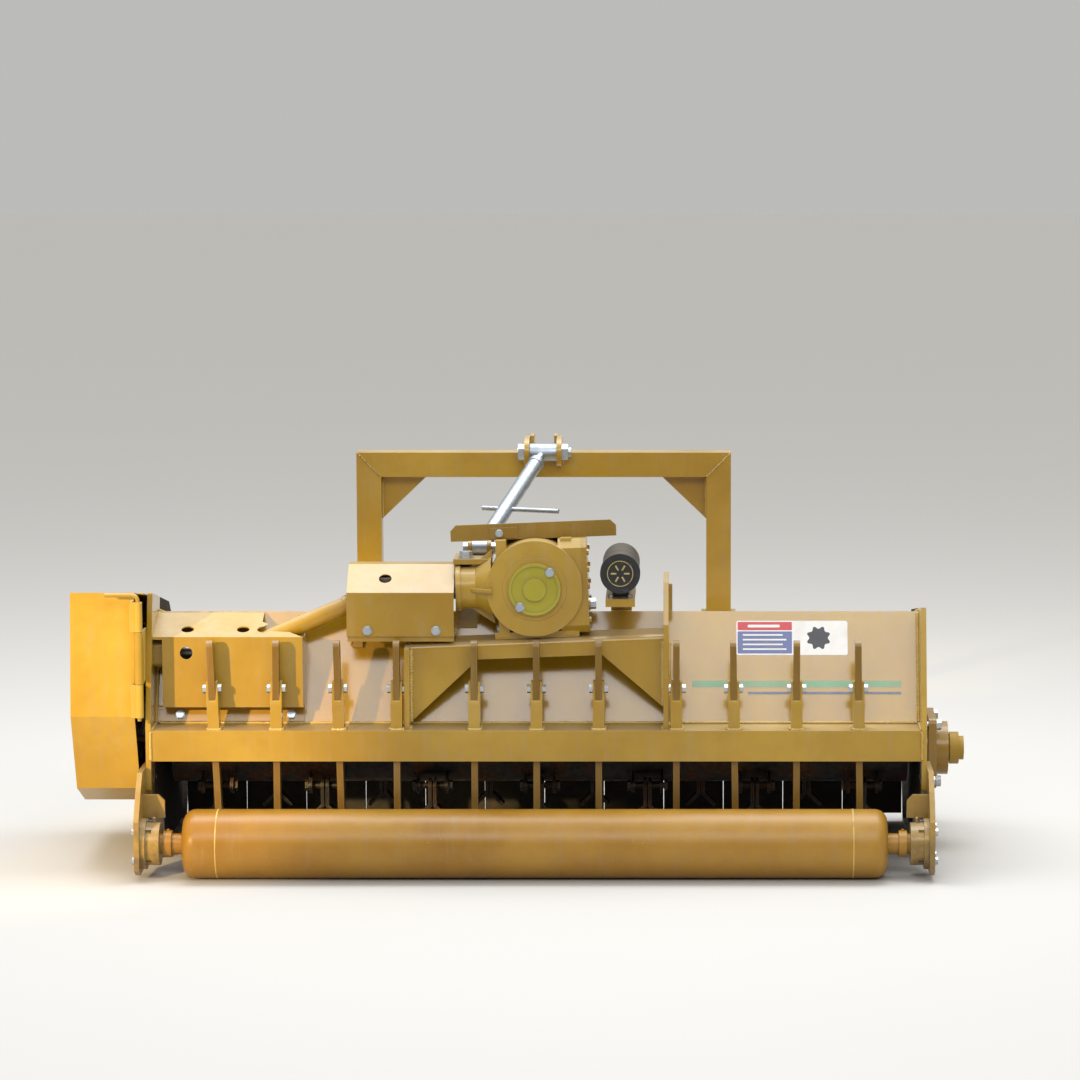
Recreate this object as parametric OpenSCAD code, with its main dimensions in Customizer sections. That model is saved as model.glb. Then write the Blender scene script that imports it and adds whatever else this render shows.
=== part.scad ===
// Rear-mounted flail mower and shredder for a tractor's three-point linkage.
// +X is the machine's right, +Y points at the tractor, +Z is up, and the ground is Z = 0.
// Places are given from the roller's axis line (Y = 0) and the deck's middle (X = 0);
// at_origin() then moves the whole machine so that its box is centred on the origin.

/* [Deck] */
// Width between the side plates
cut_w = 1888.6; // [1700:1:2100]
// Thickness of the side plates and brackets
plate_t = 12.7; // [8:0.1:16]
// Thickness of the deck's bent sheet
sheet_t = 6; // [4:0.5:8]
// Depth of the rear beam, front to back
beam_d = 101.6; // [80:0.1:120]
// Height of the rear beam
beam_h = 76.2; // [60:0.1:90]

/* [Ground roller] */
// Outer diameter of the roller pipe
roller_d = 168.3; // [140:0.1:180]
// Length of the roller pipe
roller_w = 1712; // [1500:1:1720]
// Diameter of the roller's stub shafts
roller_shaft_d = 50; // [40:1:60]

/* [Rotor] */
// Distance from the roller's axis to the rotor's axis
rotor_y = 430; // [410:1:450]
// Height of the rotor's axis
rotor_z = 243; // [235:1:255]
// Outer diameter of the rotor tube
rotor_d = 168; // [150:1:170]
// Radius of the circle that the flail pins run on
pin_circle_r = 115; // [112:1:118]
// Diameter of the rotor's shaft ends
rotor_shaft_d = 60; // [50:1:62]

/* [Drive] */
// Height of the gearbox's shafts
gear_z = 690; // [688:0.5:694]
// Sideways lean of the gearbox and its stand, in degrees
gear_tilt = 2.25; // [1:0.05:3]
// Diameter of the tubular drive shaft
drive_tube_d = 45; // [36:1:47]
// Radius of the upper belt pulley
upper_pulley_r = 100; // [90:1:105]
// Radius of the lower belt pulley
lower_pulley_r = 70; // [64:1:75]
// Diameter of the splined input shaft
pto_d = 34.92; // [30:0.01:36]

/* [Hitch] */
// Outer width of the A-frame
mast_w = 967; // [900:1:1000]
// Square tube of the A-frame
mast_tube = 63.5; // [50:0.1:70]
// Height of the A-frame's top edge
mast_top = 961.5; // [900:0.5:980]
// Diameter of the lower hitch pins
hitch_pin_d = 28.4; // [22:0.1:29]

/* [Hidden] */
$fn = 48;

// Paint and metal colours
gold = [0.72, 0.55, 0.15];
dark_gold = [0.6, 0.45, 0.12];
zinc = [0.75, 0.78, 0.82];
steel = [0.45, 0.44, 0.43];
black = [0.06, 0.06, 0.07];

// Running gap of a shaft in its bearing, on the radius
run_gap = 0.3;
mount_gap = 0.05;

// Length of a lower pin that a tractor's link slides over
pin_seat = 62.9;
half_in = cut_w / 2;
half_out = half_in + plate_t;

// Rear beam
beam_y0 = 90;
beam_y1 = beam_y0 + beam_d;
beam_top = 346.7;
beam_bottom = beam_top - beam_h;
beam_wall = 6.35;

// Outer face of the deck's sheet, from the rear beam over the peak to the front lip
deck_path = [[191.75, beam_top + 2], [291, 613], [560, 560], [728, 420], [728, 326]];

// Rake fingers: place along the beam, sideways lean in degrees, and the bar
finger_x = [-791, -638, -485, -343, -152.4, 0, 152.4, 343, 485, 638, 791];
finger_lean = [-2.4, 0, -1.2, 0, 0, 0, 0, 0, -0.8, 0, -0.8];
finger_y = 121;
finger_depth = 34;
finger_t = 15.9;
finger_bottom = 100;
finger_top = 566;
finger_bolt_z = 446;
finger_travel = 38;
finger_bolt_r = 6.35;
socket_w = 28;
socket_d = 40;

// Skid shoes: bottom face in side view
shoe_path = [[204, 110], [238, 0], [690, 0], [742, 100]];
shoe_t = 10;

// Gearbox centre and its parts, measured from that centre
gear_x = -4;
drive_y = 215;
case_r = 118;
horn_r = 52;
horn_end = 195;

// Gearbox stand: height of its top at the middle, and the middle of its side plates
stand_z = 563;
stand_x = 317.65;

// Drive shaft: its two joint centres
joint_1 = [-388, drive_y, gear_z + (-388 - gear_x) * tan(gear_tilt)];
joint_2 = [-745, drive_y, 521];
joint_r = 34;

// Belt drive
pulley_x0 = 1000;
pulley_w = 85;
groove_pitch = 19;
belt_n = 4;
belt_dy = rotor_y - drive_y;
belt_dz = rotor_z - joint_2[2];
belt_c = norm([belt_dy, belt_dz]);
belt_angle = atan2(belt_dz, belt_dy);
idler_r = 38;
idler_pivot = [150, 395];
idler_along = 180;
belt_slope = (upper_pulley_r - lower_pulley_r) / belt_c;
idler_out = (upper_pulley_r + 1.8 + idler_r - idler_along * belt_slope)
    / sqrt(1 - belt_slope * belt_slope);
idler_c = [drive_y, joint_2[2]] + idler_along * [cos(belt_angle), sin(belt_angle)]
    + idler_out * [sin(belt_angle), -cos(belt_angle)];

// Belt guard in side view, outer faces
guard_path = [[165, 190], [78, 384], [106, 686], [500, 614], [600, 540], [600, 200],
    [540, 140], [300, 135]];
guard_x0 = 1138;
guard_x1 = 981;
guard_t = 3.2;
hinge = [-967, 62];
knuckle_r = 10.5;

// Brace between the A-frame's top and the gearbox stand
brace_top = [0, 698, 966];
brace_low = [-145, 290, 771];
brace_v = brace_top - brace_low;
brace_len = norm(brace_v);
tommy_at = brace_len * 0.4;

// Canister for the machine's papers
can_c = [206, 96, 734];
can_r = 46;
can_len = 230;
tray_z = 670;

// The machine's own extents, which centre it on the origin
x_low = -guard_x0;
x_high = 1069;
y_low = -roller_d / 2;
y_high = 882;
centre_x = (x_low + x_high) / 2;
centre_y = (y_low + y_high) / 2;

// ---- helpers ----

// Moves a piece from the roller-line frame to the part's own frame
module at_origin() {
    translate([-centre_x, -centre_y, 0]) children();
}

// Unit normal on the right-hand side of a run from a to b
function normal(a, b) = let (d = b - a, l = norm(d)) [d[1] / l, -d[0] / l];

// Point i of path p, moved t to the right of the path with mitred corners
function mitre(p, i, t) =
    i == 0 ? p[0] + t * normal(p[0], p[1]) :
    i == len(p) - 1 ? p[i] + t * normal(p[i - 1], p[i]) :
    let (b = normal(p[i - 1], p[i]) + normal(p[i], p[i + 1]))
    p[i] + b * (2 * t / (b * b));

// Outline of a sheet of thickness t bent along path p
function folded(p, t) = concat(p, [for (i = [len(p) - 1:-1:0]) mitre(p, i, t)]);

// Clockwise outline p moved inward by t
function inset(p, t) = let (n = len(p)) [for (i = [0:n - 1])
    let (b = normal(p[(i + n - 1) % n], p[i]) + normal(p[i], p[(i + 1) % n]))
    p[i] + b * (2 * t / (b * b))];

// Extrudes a side view (first axis Y, second axis Z) from x0 to x1
module side_view(x0, x1) {
    translate([x0, 0, 0]) rotate([90, 0, 90]) linear_extrude(x1 - x0) children();
}

// Extrudes a rear view (first axis X, second axis Z) from y0 to y1
module rear_view(y0, y1) {
    translate([0, y1, 0]) rotate([90, 0, 0]) linear_extrude(y1 - y0) children();
}

module rod_x(r, x0, x1, y, z) {
    translate([x0, y, z]) rotate([0, 90, 0]) cylinder(r = r, h = x1 - x0);
}

module rod_y(r, y0, y1, x, z) {
    translate([x, y0, z]) rotate([-90, 0, 0]) cylinder(r = r, h = y1 - y0);
}

module box_at(x0, x1, y0, y1, z0, z1) {
    translate([x0, y0, z0]) cube([x1 - x0, y1 - y0, z1 - z0]);
}

// Draws its children on both sides of the machine
module both_sides() {
    children();
    mirror([1, 0, 0]) children();
}

// Hex head along +Z with its washer below
module hex_head(af, h, washer_r, washer_t) {
    cylinder(r = washer_r, h = washer_t);
    translate([0, 0, washer_t]) cylinder(r = af / 2 / cos(30), h = h, $fn = 6);
}

// Hex bolt seen from outside the +X side, its shank running back to -X
module bolt_x(x, y, z, r, af, grip) {
    translate([x, y, z]) rotate([0, 90, 0]) hex_head(af, r * 1.3, af * 0.62, 2);
    rod_x(r, x - grip, x, y, z);
}

// Hex bolt seen from behind, its shank running forward
module bolt_y(x, y, z, r, af, grip) {
    translate([x, y, z]) rotate([90, 0, 0]) hex_head(af, r * 1.3, af * 0.62, 2);
    rod_y(r, y, y + grip, x, z);
}

// Places a piece in the gearbox's own frame: centre at the crossing of its shafts
module at_gearbox() {
    translate([gear_x, drive_y, gear_z]) rotate([0, -gear_tilt, 0]) children();
}

// Turns +Z to the direction v
module facing(v) {
    rotate([0, acos(v[2] / norm(v)), atan2(v[1], v[0])]) children();
}

bracket_bolts = [[130, 215], [185, 215], [130, 160], [185, 160], [160, 108]];

// Ways for the bolts of the roller's brackets and bearings
module bracket_bolt_ways() {
    both_sides() {
        for (p = bracket_bolts) {
            rod_x(6.6, half_in - 1, half_out + plate_t + 1, p[0], p[1]);
        }
        for (a = [45:90:315]) {
            rod_x(5.25, half_out - 26, half_out + plate_t + 1, 50 * cos(a),
                roller_d / 2 + 50 * sin(a));
        }
    }
}

// Ways for the two bolts that hold the drive cover to the deck
module cover_bolt_ways() {
    for (x = [-883, -608]) translate([x, 194.9, 369.3]) rotate([-20.6, 0, 0])
        rod_y(6.6, -1, 11, 0, 0);
}

// ---- deck ----

shoe_top = [for (i = [0:len(shoe_path) - 1]) mitre(shoe_path, i, -shoe_t)];
plate_front = [[740, 330], [728, 420]];

module side_plate_2d(rear_top) {
    difference() {
        polygon(concat([[90, 200], [150, 150]], shoe_top, plate_front, rear_top, [[90, 350]]));
        translate([rotor_y, rotor_z]) circle(r = rotor_shaft_d / 2 + 12);
    }
}

module left_side_plate() {
    color(gold) at_origin() difference() {
        side_view(-half_out, -half_in) difference() {
            side_plate_2d([[600, 527], [500, 607], [170, 676]]);
            translate([drive_y, joint_2[2]]) circle(r = 34);
        }
        bracket_bolt_ways();
    }
}

module right_side_plate() {
    color(gold) at_origin() difference() {
        side_view(half_in, half_out) side_plate_2d([[600, 572], [170, 640]]);
        bracket_bolt_ways();
    }
}

module deck_shell() {
    color(gold) at_origin() difference() {
        side_view(-half_in, half_in) polygon(folded(deck_path, sheet_t));
        cover_bolt_ways();
    }
}

module finger_hole(i) {
    translate([finger_x[i], 0, beam_top]) rotate([0, finger_lean[i], 0])
        translate([-finger_t / 2 - 1.5, finger_y - finger_depth / 2 - 1.5, -beam_h - 12])
        cube([finger_t + 3, finger_depth + 3, beam_h + 24]);
}

module rear_beam() {
    color(gold) at_origin() difference() {
        box_at(-half_in, half_in, beam_y0, beam_y1, beam_bottom, beam_top);
        box_at(-half_in + 8, half_in - 8, beam_y0 + beam_wall, beam_y1 - beam_wall,
            beam_bottom + beam_wall, beam_top - beam_wall);
        for (i = [0:len(finger_x) - 1]) finger_hole(i);
    }
}

// Square tube inside the front lip that stiffens it and carries the curtain's rod
module front_rail() {
    rail = 50.8;
    color(gold) at_origin() {
        difference() {
            box_at(-half_in, half_in, 721.5 - rail, 721.5, 345, 345 + rail);
            box_at(-half_in + 6, half_in - 6, 726 - rail, 717, 349.5, 340.5 + rail);
        }
        for (x = [-930, -465, 0, 465, 930]) curtain_eye(x);
    }
}

module curtain_eye(x) {
    difference() {
        union() {
            box_at(x - 5, x + 5, 688, 712, 316, 345.5);
            rod_x(12, x - 5, x + 5, 700, 316);
        }
        rod_x(6.35 + run_gap, x - 6, x + 6, 700, 316);
    }
}

module finger_socket(i) {
    z_low = 63;
    z_high = 118;
    translate([finger_x[i], finger_y, beam_top]) rotate([0, finger_lean[i], 0]) difference() {
        side_view(-socket_w / 2, socket_w / 2) polygon([[-socket_d / 2, 0], [socket_d / 2, 0],
            [socket_d / 2, z_high], [-socket_d / 2 + 12, z_high], [-socket_d / 2, z_low]]);
        box_at(-finger_t / 2 - 0.4, finger_t / 2 + 0.4, -finger_depth / 2 - 0.6,
            finger_depth / 2 + 0.6, -1, z_high + 1);
        rod_x(finger_bolt_r + 0.3, -30, 30, 0, finger_bolt_z - beam_top);
    }
}

module finger_sockets() {
    color(gold) at_origin() difference() {
        for (i = [0:len(finger_x) - 1]) finger_socket(i);
        box_at(-half_in, half_in, beam_y0, beam_y1, beam_top - 10, beam_top);
    }
}

// Flat bar with a round top and a long slot for its clamp bolt
module rake_finger(i) {
    r = finger_depth / 2;
    h = finger_top - beam_top;
    slot_r = finger_bolt_r + 0.4;
    bolt_h = finger_bolt_z - beam_top;
    translate([finger_x[i], finger_y, beam_top]) rotate([0, finger_lean[i], 0]) difference() {
        union() {
            side_view(-finger_t / 2, finger_t / 2) polygon([[-r, finger_bottom - beam_top + 14],
                [r, finger_bottom - beam_top], [r, h - r], [-r, h - r]]);
            rod_x(r, -finger_t / 2, finger_t / 2, 0, h - r);
        }
        for (z = [bolt_h - finger_travel, bolt_h + finger_travel]) {
            rod_x(slot_r, -finger_t, finger_t, 0, z);
        }
        box_at(-finger_t, finger_t, -slot_r, slot_r, bolt_h - finger_travel,
            bolt_h + finger_travel);
    }
}

module skid_shoes() {
    color(steel) at_origin() both_sides() side_view(half_in - 14, half_out + 12)
        polygon(folded(shoe_path, -shoe_t));
}

// ---- gearbox stand ----

// Points just outside the deck's sheet, from the front lip back to the beam
above_sheet = [for (i = [len(deck_path) - 1:-1:0]) mitre(deck_path, i, -0.3)];

// Outer edge of the stand's bent top in side view, with a rounded bend
stand_bend = concat([[155, -250]], [for (a = [180:-15:90]) [169 + 14 * cos(a), 14 * sin(a) - 14]],
    [[266, 0]]);

module gearbox_stand() {
    x_in = stand_x - plate_t / 2;
    x_out = stand_x + plate_t / 2;
    color(gold) at_origin() difference() {
        union() {
            // rear gusset, bent over at the top, with its trapezoid window
            difference() {
                translate([0, 0, stand_z]) rotate([0, -gear_tilt, 0])
                    side_view(-x_in - 0.5, x_in + 0.5) polygon(folded(stand_bend, 8));
                rear_view(150, 200) polygon([[-400, 273], [-145, 513], [161, 524.5], [400, 317],
                    [400, 100], [-400, 100]]);
            }
            side_view(-x_out, -x_in) polygon([[112, beam_top], [112, 545], [155, 549], [268.6, 549],
                above_sheet[4]]);
            side_view(x_in, x_out) polygon([[112, beam_top], [112, 605], [150, 706], [330, 706],
                [330, 605.7], above_sheet[3], above_sheet[4]]);
            brace_bracket();
            canister_tray();
            cover_rail();
        }
        side_view(-half_in, half_in) polygon(above_sheet);
    }
}

// Post and shelf that hold the brace's lower end over the output horn
module brace_bracket() {
    box_at(-200, -152, 275.5, 283, 571, 744);
    difference() {
        union() {
            box_at(-206, -112, 196, 312, 743.3, 756);
            for (x = [-174, -126]) {
                box_at(x, x + 10, brace_low[1] - 21, brace_low[1] + 21, 755, brace_low[2]);
                rod_x(21, x, x + 10, brace_low[1], brace_low[2]);
            }
        }
        rod_x(9.8, -190, -100, brace_low[1], brace_low[2]);
        rod_x(20.2, -164, -126, brace_low[1], brace_low[2]);
        translate([-176, 228, 740]) cylinder(r = 9.8, h = 20);
        // clear of the gearbox's flared horn and its rib
        at_gearbox() {
            translate([-148, 0, 0]) rotate([0, 90, 0]) cylinder(r1 = horn_r + 0.3, r2 = 77, h = 42);
            rear_view(-4.5, 4.5) polygon([[-162, 40], [-162, horn_r], [-102, 93.5], [-102, 40]]);
        }
    }
}

// Bent tray under the canister, on a leg that stands on the deck
module canister_tray() {
    x0 = can_c[0] - 36;
    x1 = can_c[0] + 36;
    side_view(x0, x1) polygon(folded([[104, tray_z - 19], [104, tray_z], [330, tray_z],
        [330, tray_z - 16]], 6));
    box_at(x0 + 10, x1 - 10, 324, 330, 600, tray_z - 3);
    box_at(324, 333, 232, 246, 622, 689);
}

// Rail and foot under the left half of the universal joint's cover
module cover_rail() {
    box_at(-464, -203, 147, 153, 559, 573.5);
    box_at(-464, -203, 147, 268, 567.5, 573.5);
    box_at(-461, -435, 252, 268, 528, 568);
}

// ---- hitch ----

module hitch_frame() {
    half = mast_w / 2;
    y0 = 728.25;
    y1 = y0 + mast_tube;
    wall = 6.35;
    leg_bottom = 335;
    color(gold) at_origin() {
        difference() {
            box_at(-half, half, y0, y1, leg_bottom, mast_top);
            box_at(-half + mast_tube, half - mast_tube, y0 - 1, y1 + 1, leg_bottom - 1,
                mast_top - mast_tube);
            // the tubes' bore
            difference() {
                box_at(-half + wall, half - wall, y0 + wall, y1 - wall, leg_bottom + wall,
                    mast_top - wall);
                box_at(-half + mast_tube - wall, half - mast_tube + wall, y0, y1,
                    leg_bottom - 1, mast_top - mast_tube + wall);
            }
        }
        both_sides() rear_view(768, 777.5) polygon([[half - mast_tube, mast_top - mast_tube],
            [half - mast_tube, 785], [half - mast_tube - 118, mast_top - mast_tube]]);
        // cross bar between the legs in front of the deck's lip
        box_at(-half + mast_tube + plate_t, half - mast_tube - plate_t, y0, y0 + 12, 345, 425);
    }
}

module lower_plate_2d() {
    difference() {
        union() {
            polygon([[728.25, 335], [800, 335], [850, 368], [876, 385], [876, 425],
                [791.75, 545], [728.25, 545]]);
            translate([846, 405]) circle(r = 36);
        }
        translate([846, 405]) circle(r = hitch_pin_d / 2 + mount_gap);
    }
}

// A lug with its hole, set to the rear (side = -1) or the front (side = 1) of the top tube
module top_lug_2d(side) {
    mid = 760;
    face = mid + side * mast_tube / 2;
    hole_y = mid + side * 62;
    difference() {
        union() {
            polygon([[mid, mast_top], [face, mast_top], [face, 930], [hole_y, 930],
                [hole_y, 1002], [mid, 1002]]);
            translate([hole_y, 966]) circle(r = 36);
        }
        translate([hole_y, 966]) circle(r = 12.75);
        polygon([[728.25, 800], [791.75, 800], [791.75, mast_top], [728.25, mast_top]]);
    }
}

module hitch_plates() {
    half = mast_w / 2;
    color(gold) at_origin() {
        both_sides() {
            side_view(half, half + plate_t) lower_plate_2d();
            side_view(half - mast_tube - plate_t, half - mast_tube) lower_plate_2d();
            side_view(35, 48) top_lug_2d(-1);
            side_view(26, 35) top_lug_2d(1);
        }
    }
}

module lower_hitch_pins() {
    half = mast_w / 2;
    seat = half + plate_t + 0.3;
    color(zinc) at_origin() both_sides() difference() {
        union() {
            rod_x(hitch_pin_d / 2, seat, seat + pin_seat, 846, 405);
            rod_x(hitch_pin_d / 2 - 0.2, half - mast_tube - 30, seat + pin_seat + 30, 846, 405);
            rod_x(21, half - mast_tube - 23, half - mast_tube - 13, 846, 405);
        }
        // hole for the linch pin
        translate([seat + pin_seat + 18, 846, 380]) cylinder(r = 5.5, h = 50);
    }
}

// ---- gearbox ----

// Rectangle with cut corners in the gearbox's side view
module case_side_2d(y0, y1, z0, z1, c) {
    polygon([[y0, z0 + c], [y0, z1 - c], [y0 + c, z1], [y1 - c, z1], [y1, z1 - c], [y1, z0 + c],
        [y1 - c, z0], [y0 + c, z0]]);
}

module gearbox_casing() {
    color(dark_gold) at_origin() at_gearbox() difference() {
        union() {
            rod_y(case_r, -71, 60, 0, 0);
            rod_y(78, -74, -71, 0, 0);
            rod_y(60, 60, 98, 0, 0);
            // flared output horn with a flange at its end
            rod_x(horn_r, -horn_end, -146, 0, 0);
            translate([-146.5, 0, 0]) rotate([0, 90, 0]) cylinder(r1 = horn_r, r2 = 76, h = 40);
            rod_x(horn_r + 6, -horn_end, -horn_end + 12, 0, 0);
            side_view(60, 116) case_side_2d(-60, 58, -116, 116, 20);
            // corner columns and foot
            for (x = [-80, 80], y = [-32, 44]) {
                box_at(x - 13, x + 13, y - 13, y + 13, -121, 119);
            }
            box_at(-104, 104, -44, 52, -126.5, -110);
            // ribs of the horn
            for (a = [0:90:270]) rotate([a, 0, 0]) rear_view(-4, 4) polygon([[-160, 40],
                [-160, horn_r - 0.5], [-104, 92], [-104, 40]]);
        }
        rod_y(case_r - 12, -60, 50, 0, 0);
        rod_y(47, -75, 0, 0, 0);
        rod_y(36 + run_gap, 40, 99, 0, 0);
        rod_x(36 + run_gap, -horn_end - 1, 0, 0, 0);
        side_view(40, 117) case_side_2d(-48, 48, -94, 94, 20);
        // flat face for the side cover
        box_at(116, 130, -80, 70, -60, 60);
        cap_bolt_ways();
    }
}

cap_bolts = [[39, 41], [-38, -42]];

// Ways for the rear cap's bolts and their heads
module cap_bolt_ways() {
    for (p = cap_bolts) {
        rod_y(6.3, -84, -60, p[0], p[1]);
        rod_y(12.2, -90, -83, p[0], p[1]);
    }
}

module gearbox_rear_cap() {
    color([0.7, 0.66, 0.14]) at_origin() at_gearbox() difference() {
        union() {
            rod_y(64, -83, -74, 0, 0);
            rod_y(46.8, -74, -66, 0, 0);
            difference() {
                rod_y(64, -87, -83, 0, 0);
                rod_y(57, -88, -83, 0, 0);
            }
            rod_y(28, -91, -83, 0, 0);
        }
        cap_bolt_ways();
    }
}

module gearbox_side_cover() {
    color(gold) at_origin() at_gearbox() {
        side_view(116, 130) case_side_2d(-60, 58, -116, 116, 20);
        side_view(106, 116) case_side_2d(-47, 47, -93, 93, 20);
        for (y = [-52, 50], z = [-84:42:84]) {
            translate([130, y, z]) rotate([0, 90, 0]) cylinder(r = 7.5, h = 5.3, $fn = 6);
        }
    }
}

// Ring of a rolling bearing around a shaft of radius r_in
module ring_y(r_in, r_out, y0, y1) {
    difference() {
        rod_y(r_out, y0, y1, 0, 0);
        rod_y(r_in, y0 - 1, y1 + 1, 0, 0);
    }
}

module ring_x(r_in, r_out, x0, x1) {
    difference() {
        rod_x(r_out, x0, x1, 0, 0);
        rod_x(r_in, x0 - 1, x1 + 1, 0, 0);
    }
}

module gearbox_bearings() {
    color(steel) at_origin() at_gearbox() {
        ring_y(20 + run_gap, 47, -65.9, -48);
        ring_y(20 + run_gap, 36 + run_gap, 64, 94);
        ring_x(20 + run_gap, 36 + run_gap, -126, -110);
        ring_x(20 + run_gap, 36 + run_gap, -horn_end, -horn_end + 24);
    }
}

// Wing plate on the gearbox with a roof over the input shaft
module pto_shield() {
    color(dark_gold) at_origin() at_gearbox() {
        difference() {
            rear_view(-7, -1) polygon([[-204, 116], [204, 116], [204, 142], [190, 156],
                [-190, 156], [-204, 142]]);
            rod_y(case_r + 0.6, -20, 10, 0, 0);
            rod_y(5.3, -20, 10, -84, 133);
        }
        box_at(-80, 80, -2, 138, 130, 135);
        for (x = [-80, 75]) box_at(x, x + 5, 64, 138, 44, 131);
        box_at(-80, 80, 61, 66, 76, 131);
        // tab that carries the shield's bolt
        difference() {
            box_at(-107, -40, -10, -7, 118.8, 146);
            rod_y(5.3, -20, 10, -84, 133);
        }
        for (x = [-78, 78]) box_at(x - 12, x + 12, 33, 55, 119, 131);
    }
}

module gearbox_hardware() {
    color(zinc) at_origin() at_gearbox() {
        // two bolts on the rear cap
        for (p = cap_bolts) bolt_y(p[0], -83, p[1], 6, 19, 20);
        // level plug
        translate([130, -7, -51]) rotate([0, 90, 0]) hex_head(24, 14, 16, 3);
        // shield bolt
        bolt_y(-84, -10, 133, 5, 16, 8);
        // foot bolts
        for (y = [-8, 20]) translate([-95, y, -110]) hex_head(14, 8, 8, 2);
    }
}

// ---- shafts of the drive ----

// Ear of a yoke: two of them hold the trunnions across the joint's centre (at the origin).
// The yoke's shaft comes from -Z.
module yoke(base) {
    translate([0, 0, -base - 12]) cylinder(r = joint_r, h = 12);
    for (a = [0, 180]) rotate([0, 0, a]) {
        box_at(joint_r - 14, joint_r, -14, 14, -base - 1, 0);
        rod_x(14, joint_r - 14, joint_r, 0, 0);
        // trunnion stub
        rod_x(8, 12, joint_r - 13, 0, 0);
    }
}

module input_shaft() {
    color(steel) at_origin() at_gearbox() {
        difference() {
            union() {
                rod_y(20, -66, 106, 0, 0);
                rod_y(15, 105, 110, 0, 0);
                rod_y(pto_d / 2, 109, 193, 0, 0);
            }
            // six splines
            for (a = [0:60:300]) rotate([0, a, 0]) box_at(-1.9, 1.9, 107, 194, 15.4, 20);
        }
    }
}

gear_teeth = 29;
pinion_teeth = 15;

// Bevel gear with straight bar teeth: pitch radius pr, face at height pa, bore of radius hub
module bevel(pr, pa, teeth, hub) {
    rim = pr * 0.92;
    difference() {
        union() {
            rotate_extrude() polygon([[0, pa * 0.72], [pr * 0.66, pa * 0.72], [rim, pa * 0.98],
                [rim, pa * 0.98 + 10], [0, pa * 0.98 + 10]]);
            for (a = [0:360 / teeth:359.9]) rotate([0, 0, a])
                box_at(rim - 3, rim + 3, -2.1, 2.1, pa * 0.98 + 0.6, pa * 0.98 + 9.4);
        }
        cylinder(r = hub, h = pa + 30);
    }
}

module bevel_gear() {
    color(steel) at_origin() at_gearbox() rotate([-90, 0, 0]) bevel(80, 40, gear_teeth, 20);
}

module bevel_pinion() {
    color(steel) at_origin() at_gearbox() rotate([0, -90, 0])
        bevel(40, 80, pinion_teeth, 20);
}

module output_shaft() {
    reach = norm(joint_1 - [gear_x, drive_y, gear_z]);
    color(steel) at_origin() at_gearbox() {
        rod_x(20, -reach + 44, -76, 0, 0);
        translate([-reach, 0, 0]) rotate([0, -90, 0]) yoke(32);
        ring_x(19.9, 27, -horn_end - 24, -horn_end - 4);
    }
}

drive_v = joint_2 - joint_1;

module drive_shaft() {
    span = norm(drive_v);
    color(gold) at_origin() translate(joint_1) facing(drive_v) {
        translate([0, 0, 44]) difference() {
            cylinder(r = drive_tube_d / 2, h = span - 88);
            translate([0, 0, 6]) cylinder(r = drive_tube_d / 2 - 6, h = span - 100);
        }
        rotate([180, 0, 90]) yoke(32);
        sphere(r = 10);
        translate([0, 0, span]) {
            rotate([0, 0, 90]) yoke(32);
            sphere(r = 10);
        }
        translate([0, 0, 84]) cylinder(r = drive_tube_d / 2 + 3, h = 9);
    }
}

module jackshaft() {
    color(steel) at_origin() {
        rod_x(20, -pulley_x0 - pulley_w - 8, joint_2[0] - 44, drive_y, joint_2[2]);
        translate(joint_2) rotate([0, 90, 0]) yoke(32);
    }
}

// ---- belts ----

// Pulley along +Z with V grooves, outer radius r and shaft radius bore
module pulley(r, bore) {
    edge = (pulley_w - groove_pitch * (belt_n - 1)) / 2;
    profile = concat([[bore, 0], [r, 0]],
        [for (i = [0:belt_n - 1], q = [[-8.5, 0], [-4.9, -11], [4.9, -11], [8.5, 0]])
            [r + q[1], edge + i * groove_pitch + q[0]]],
        [[r, pulley_w], [bore, pulley_w]]);
    rotate_extrude($fn = 96) polygon(profile);
}

module upper_pulley() {
    color(steel) at_origin() translate([-pulley_x0, drive_y, joint_2[2]]) rotate([0, -90, 0])
        pulley(upper_pulley_r, 20);
}

module lower_pulley() {
    color(steel) at_origin() translate([-pulley_x0, rotor_y, rotor_z]) rotate([0, -90, 0])
        pulley(lower_pulley_r, rotor_shaft_d / 2);
}

// Outline of a loop around the two pulleys, k wider than their radii
function loop_points(k) = let (off = acos(belt_slope), step = 4) concat(
    [for (a = [off:step:360 - off]) [drive_y, joint_2[2]]
        + (upper_pulley_r + k) * [cos(belt_angle + a), sin(belt_angle + a)]],
    [for (a = [-off:step:off]) [rotor_y, rotor_z]
        + (lower_pulley_r + k) * [cos(belt_angle + a), sin(belt_angle + a)]]);

module belt_layer(x, w, k_in, k_out) {
    side_view(x - w / 2, x + w / 2) difference() {
        polygon(loop_points(k_out));
        polygon(loop_points(k_in));
    }
}

// Matched V-belts, each a wide outer band on a narrower inner one
module drive_belts() {
    edge = (pulley_w - groove_pitch * (belt_n - 1)) / 2;
    color(black) at_origin() for (i = [0:belt_n - 1]) {
        x = -pulley_x0 - edge - i * groove_pitch;
        belt_layer(x, 13.4, -4, 1.5);
        belt_layer(x, 9.6, -9.5, -3.4);
    }
}

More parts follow.
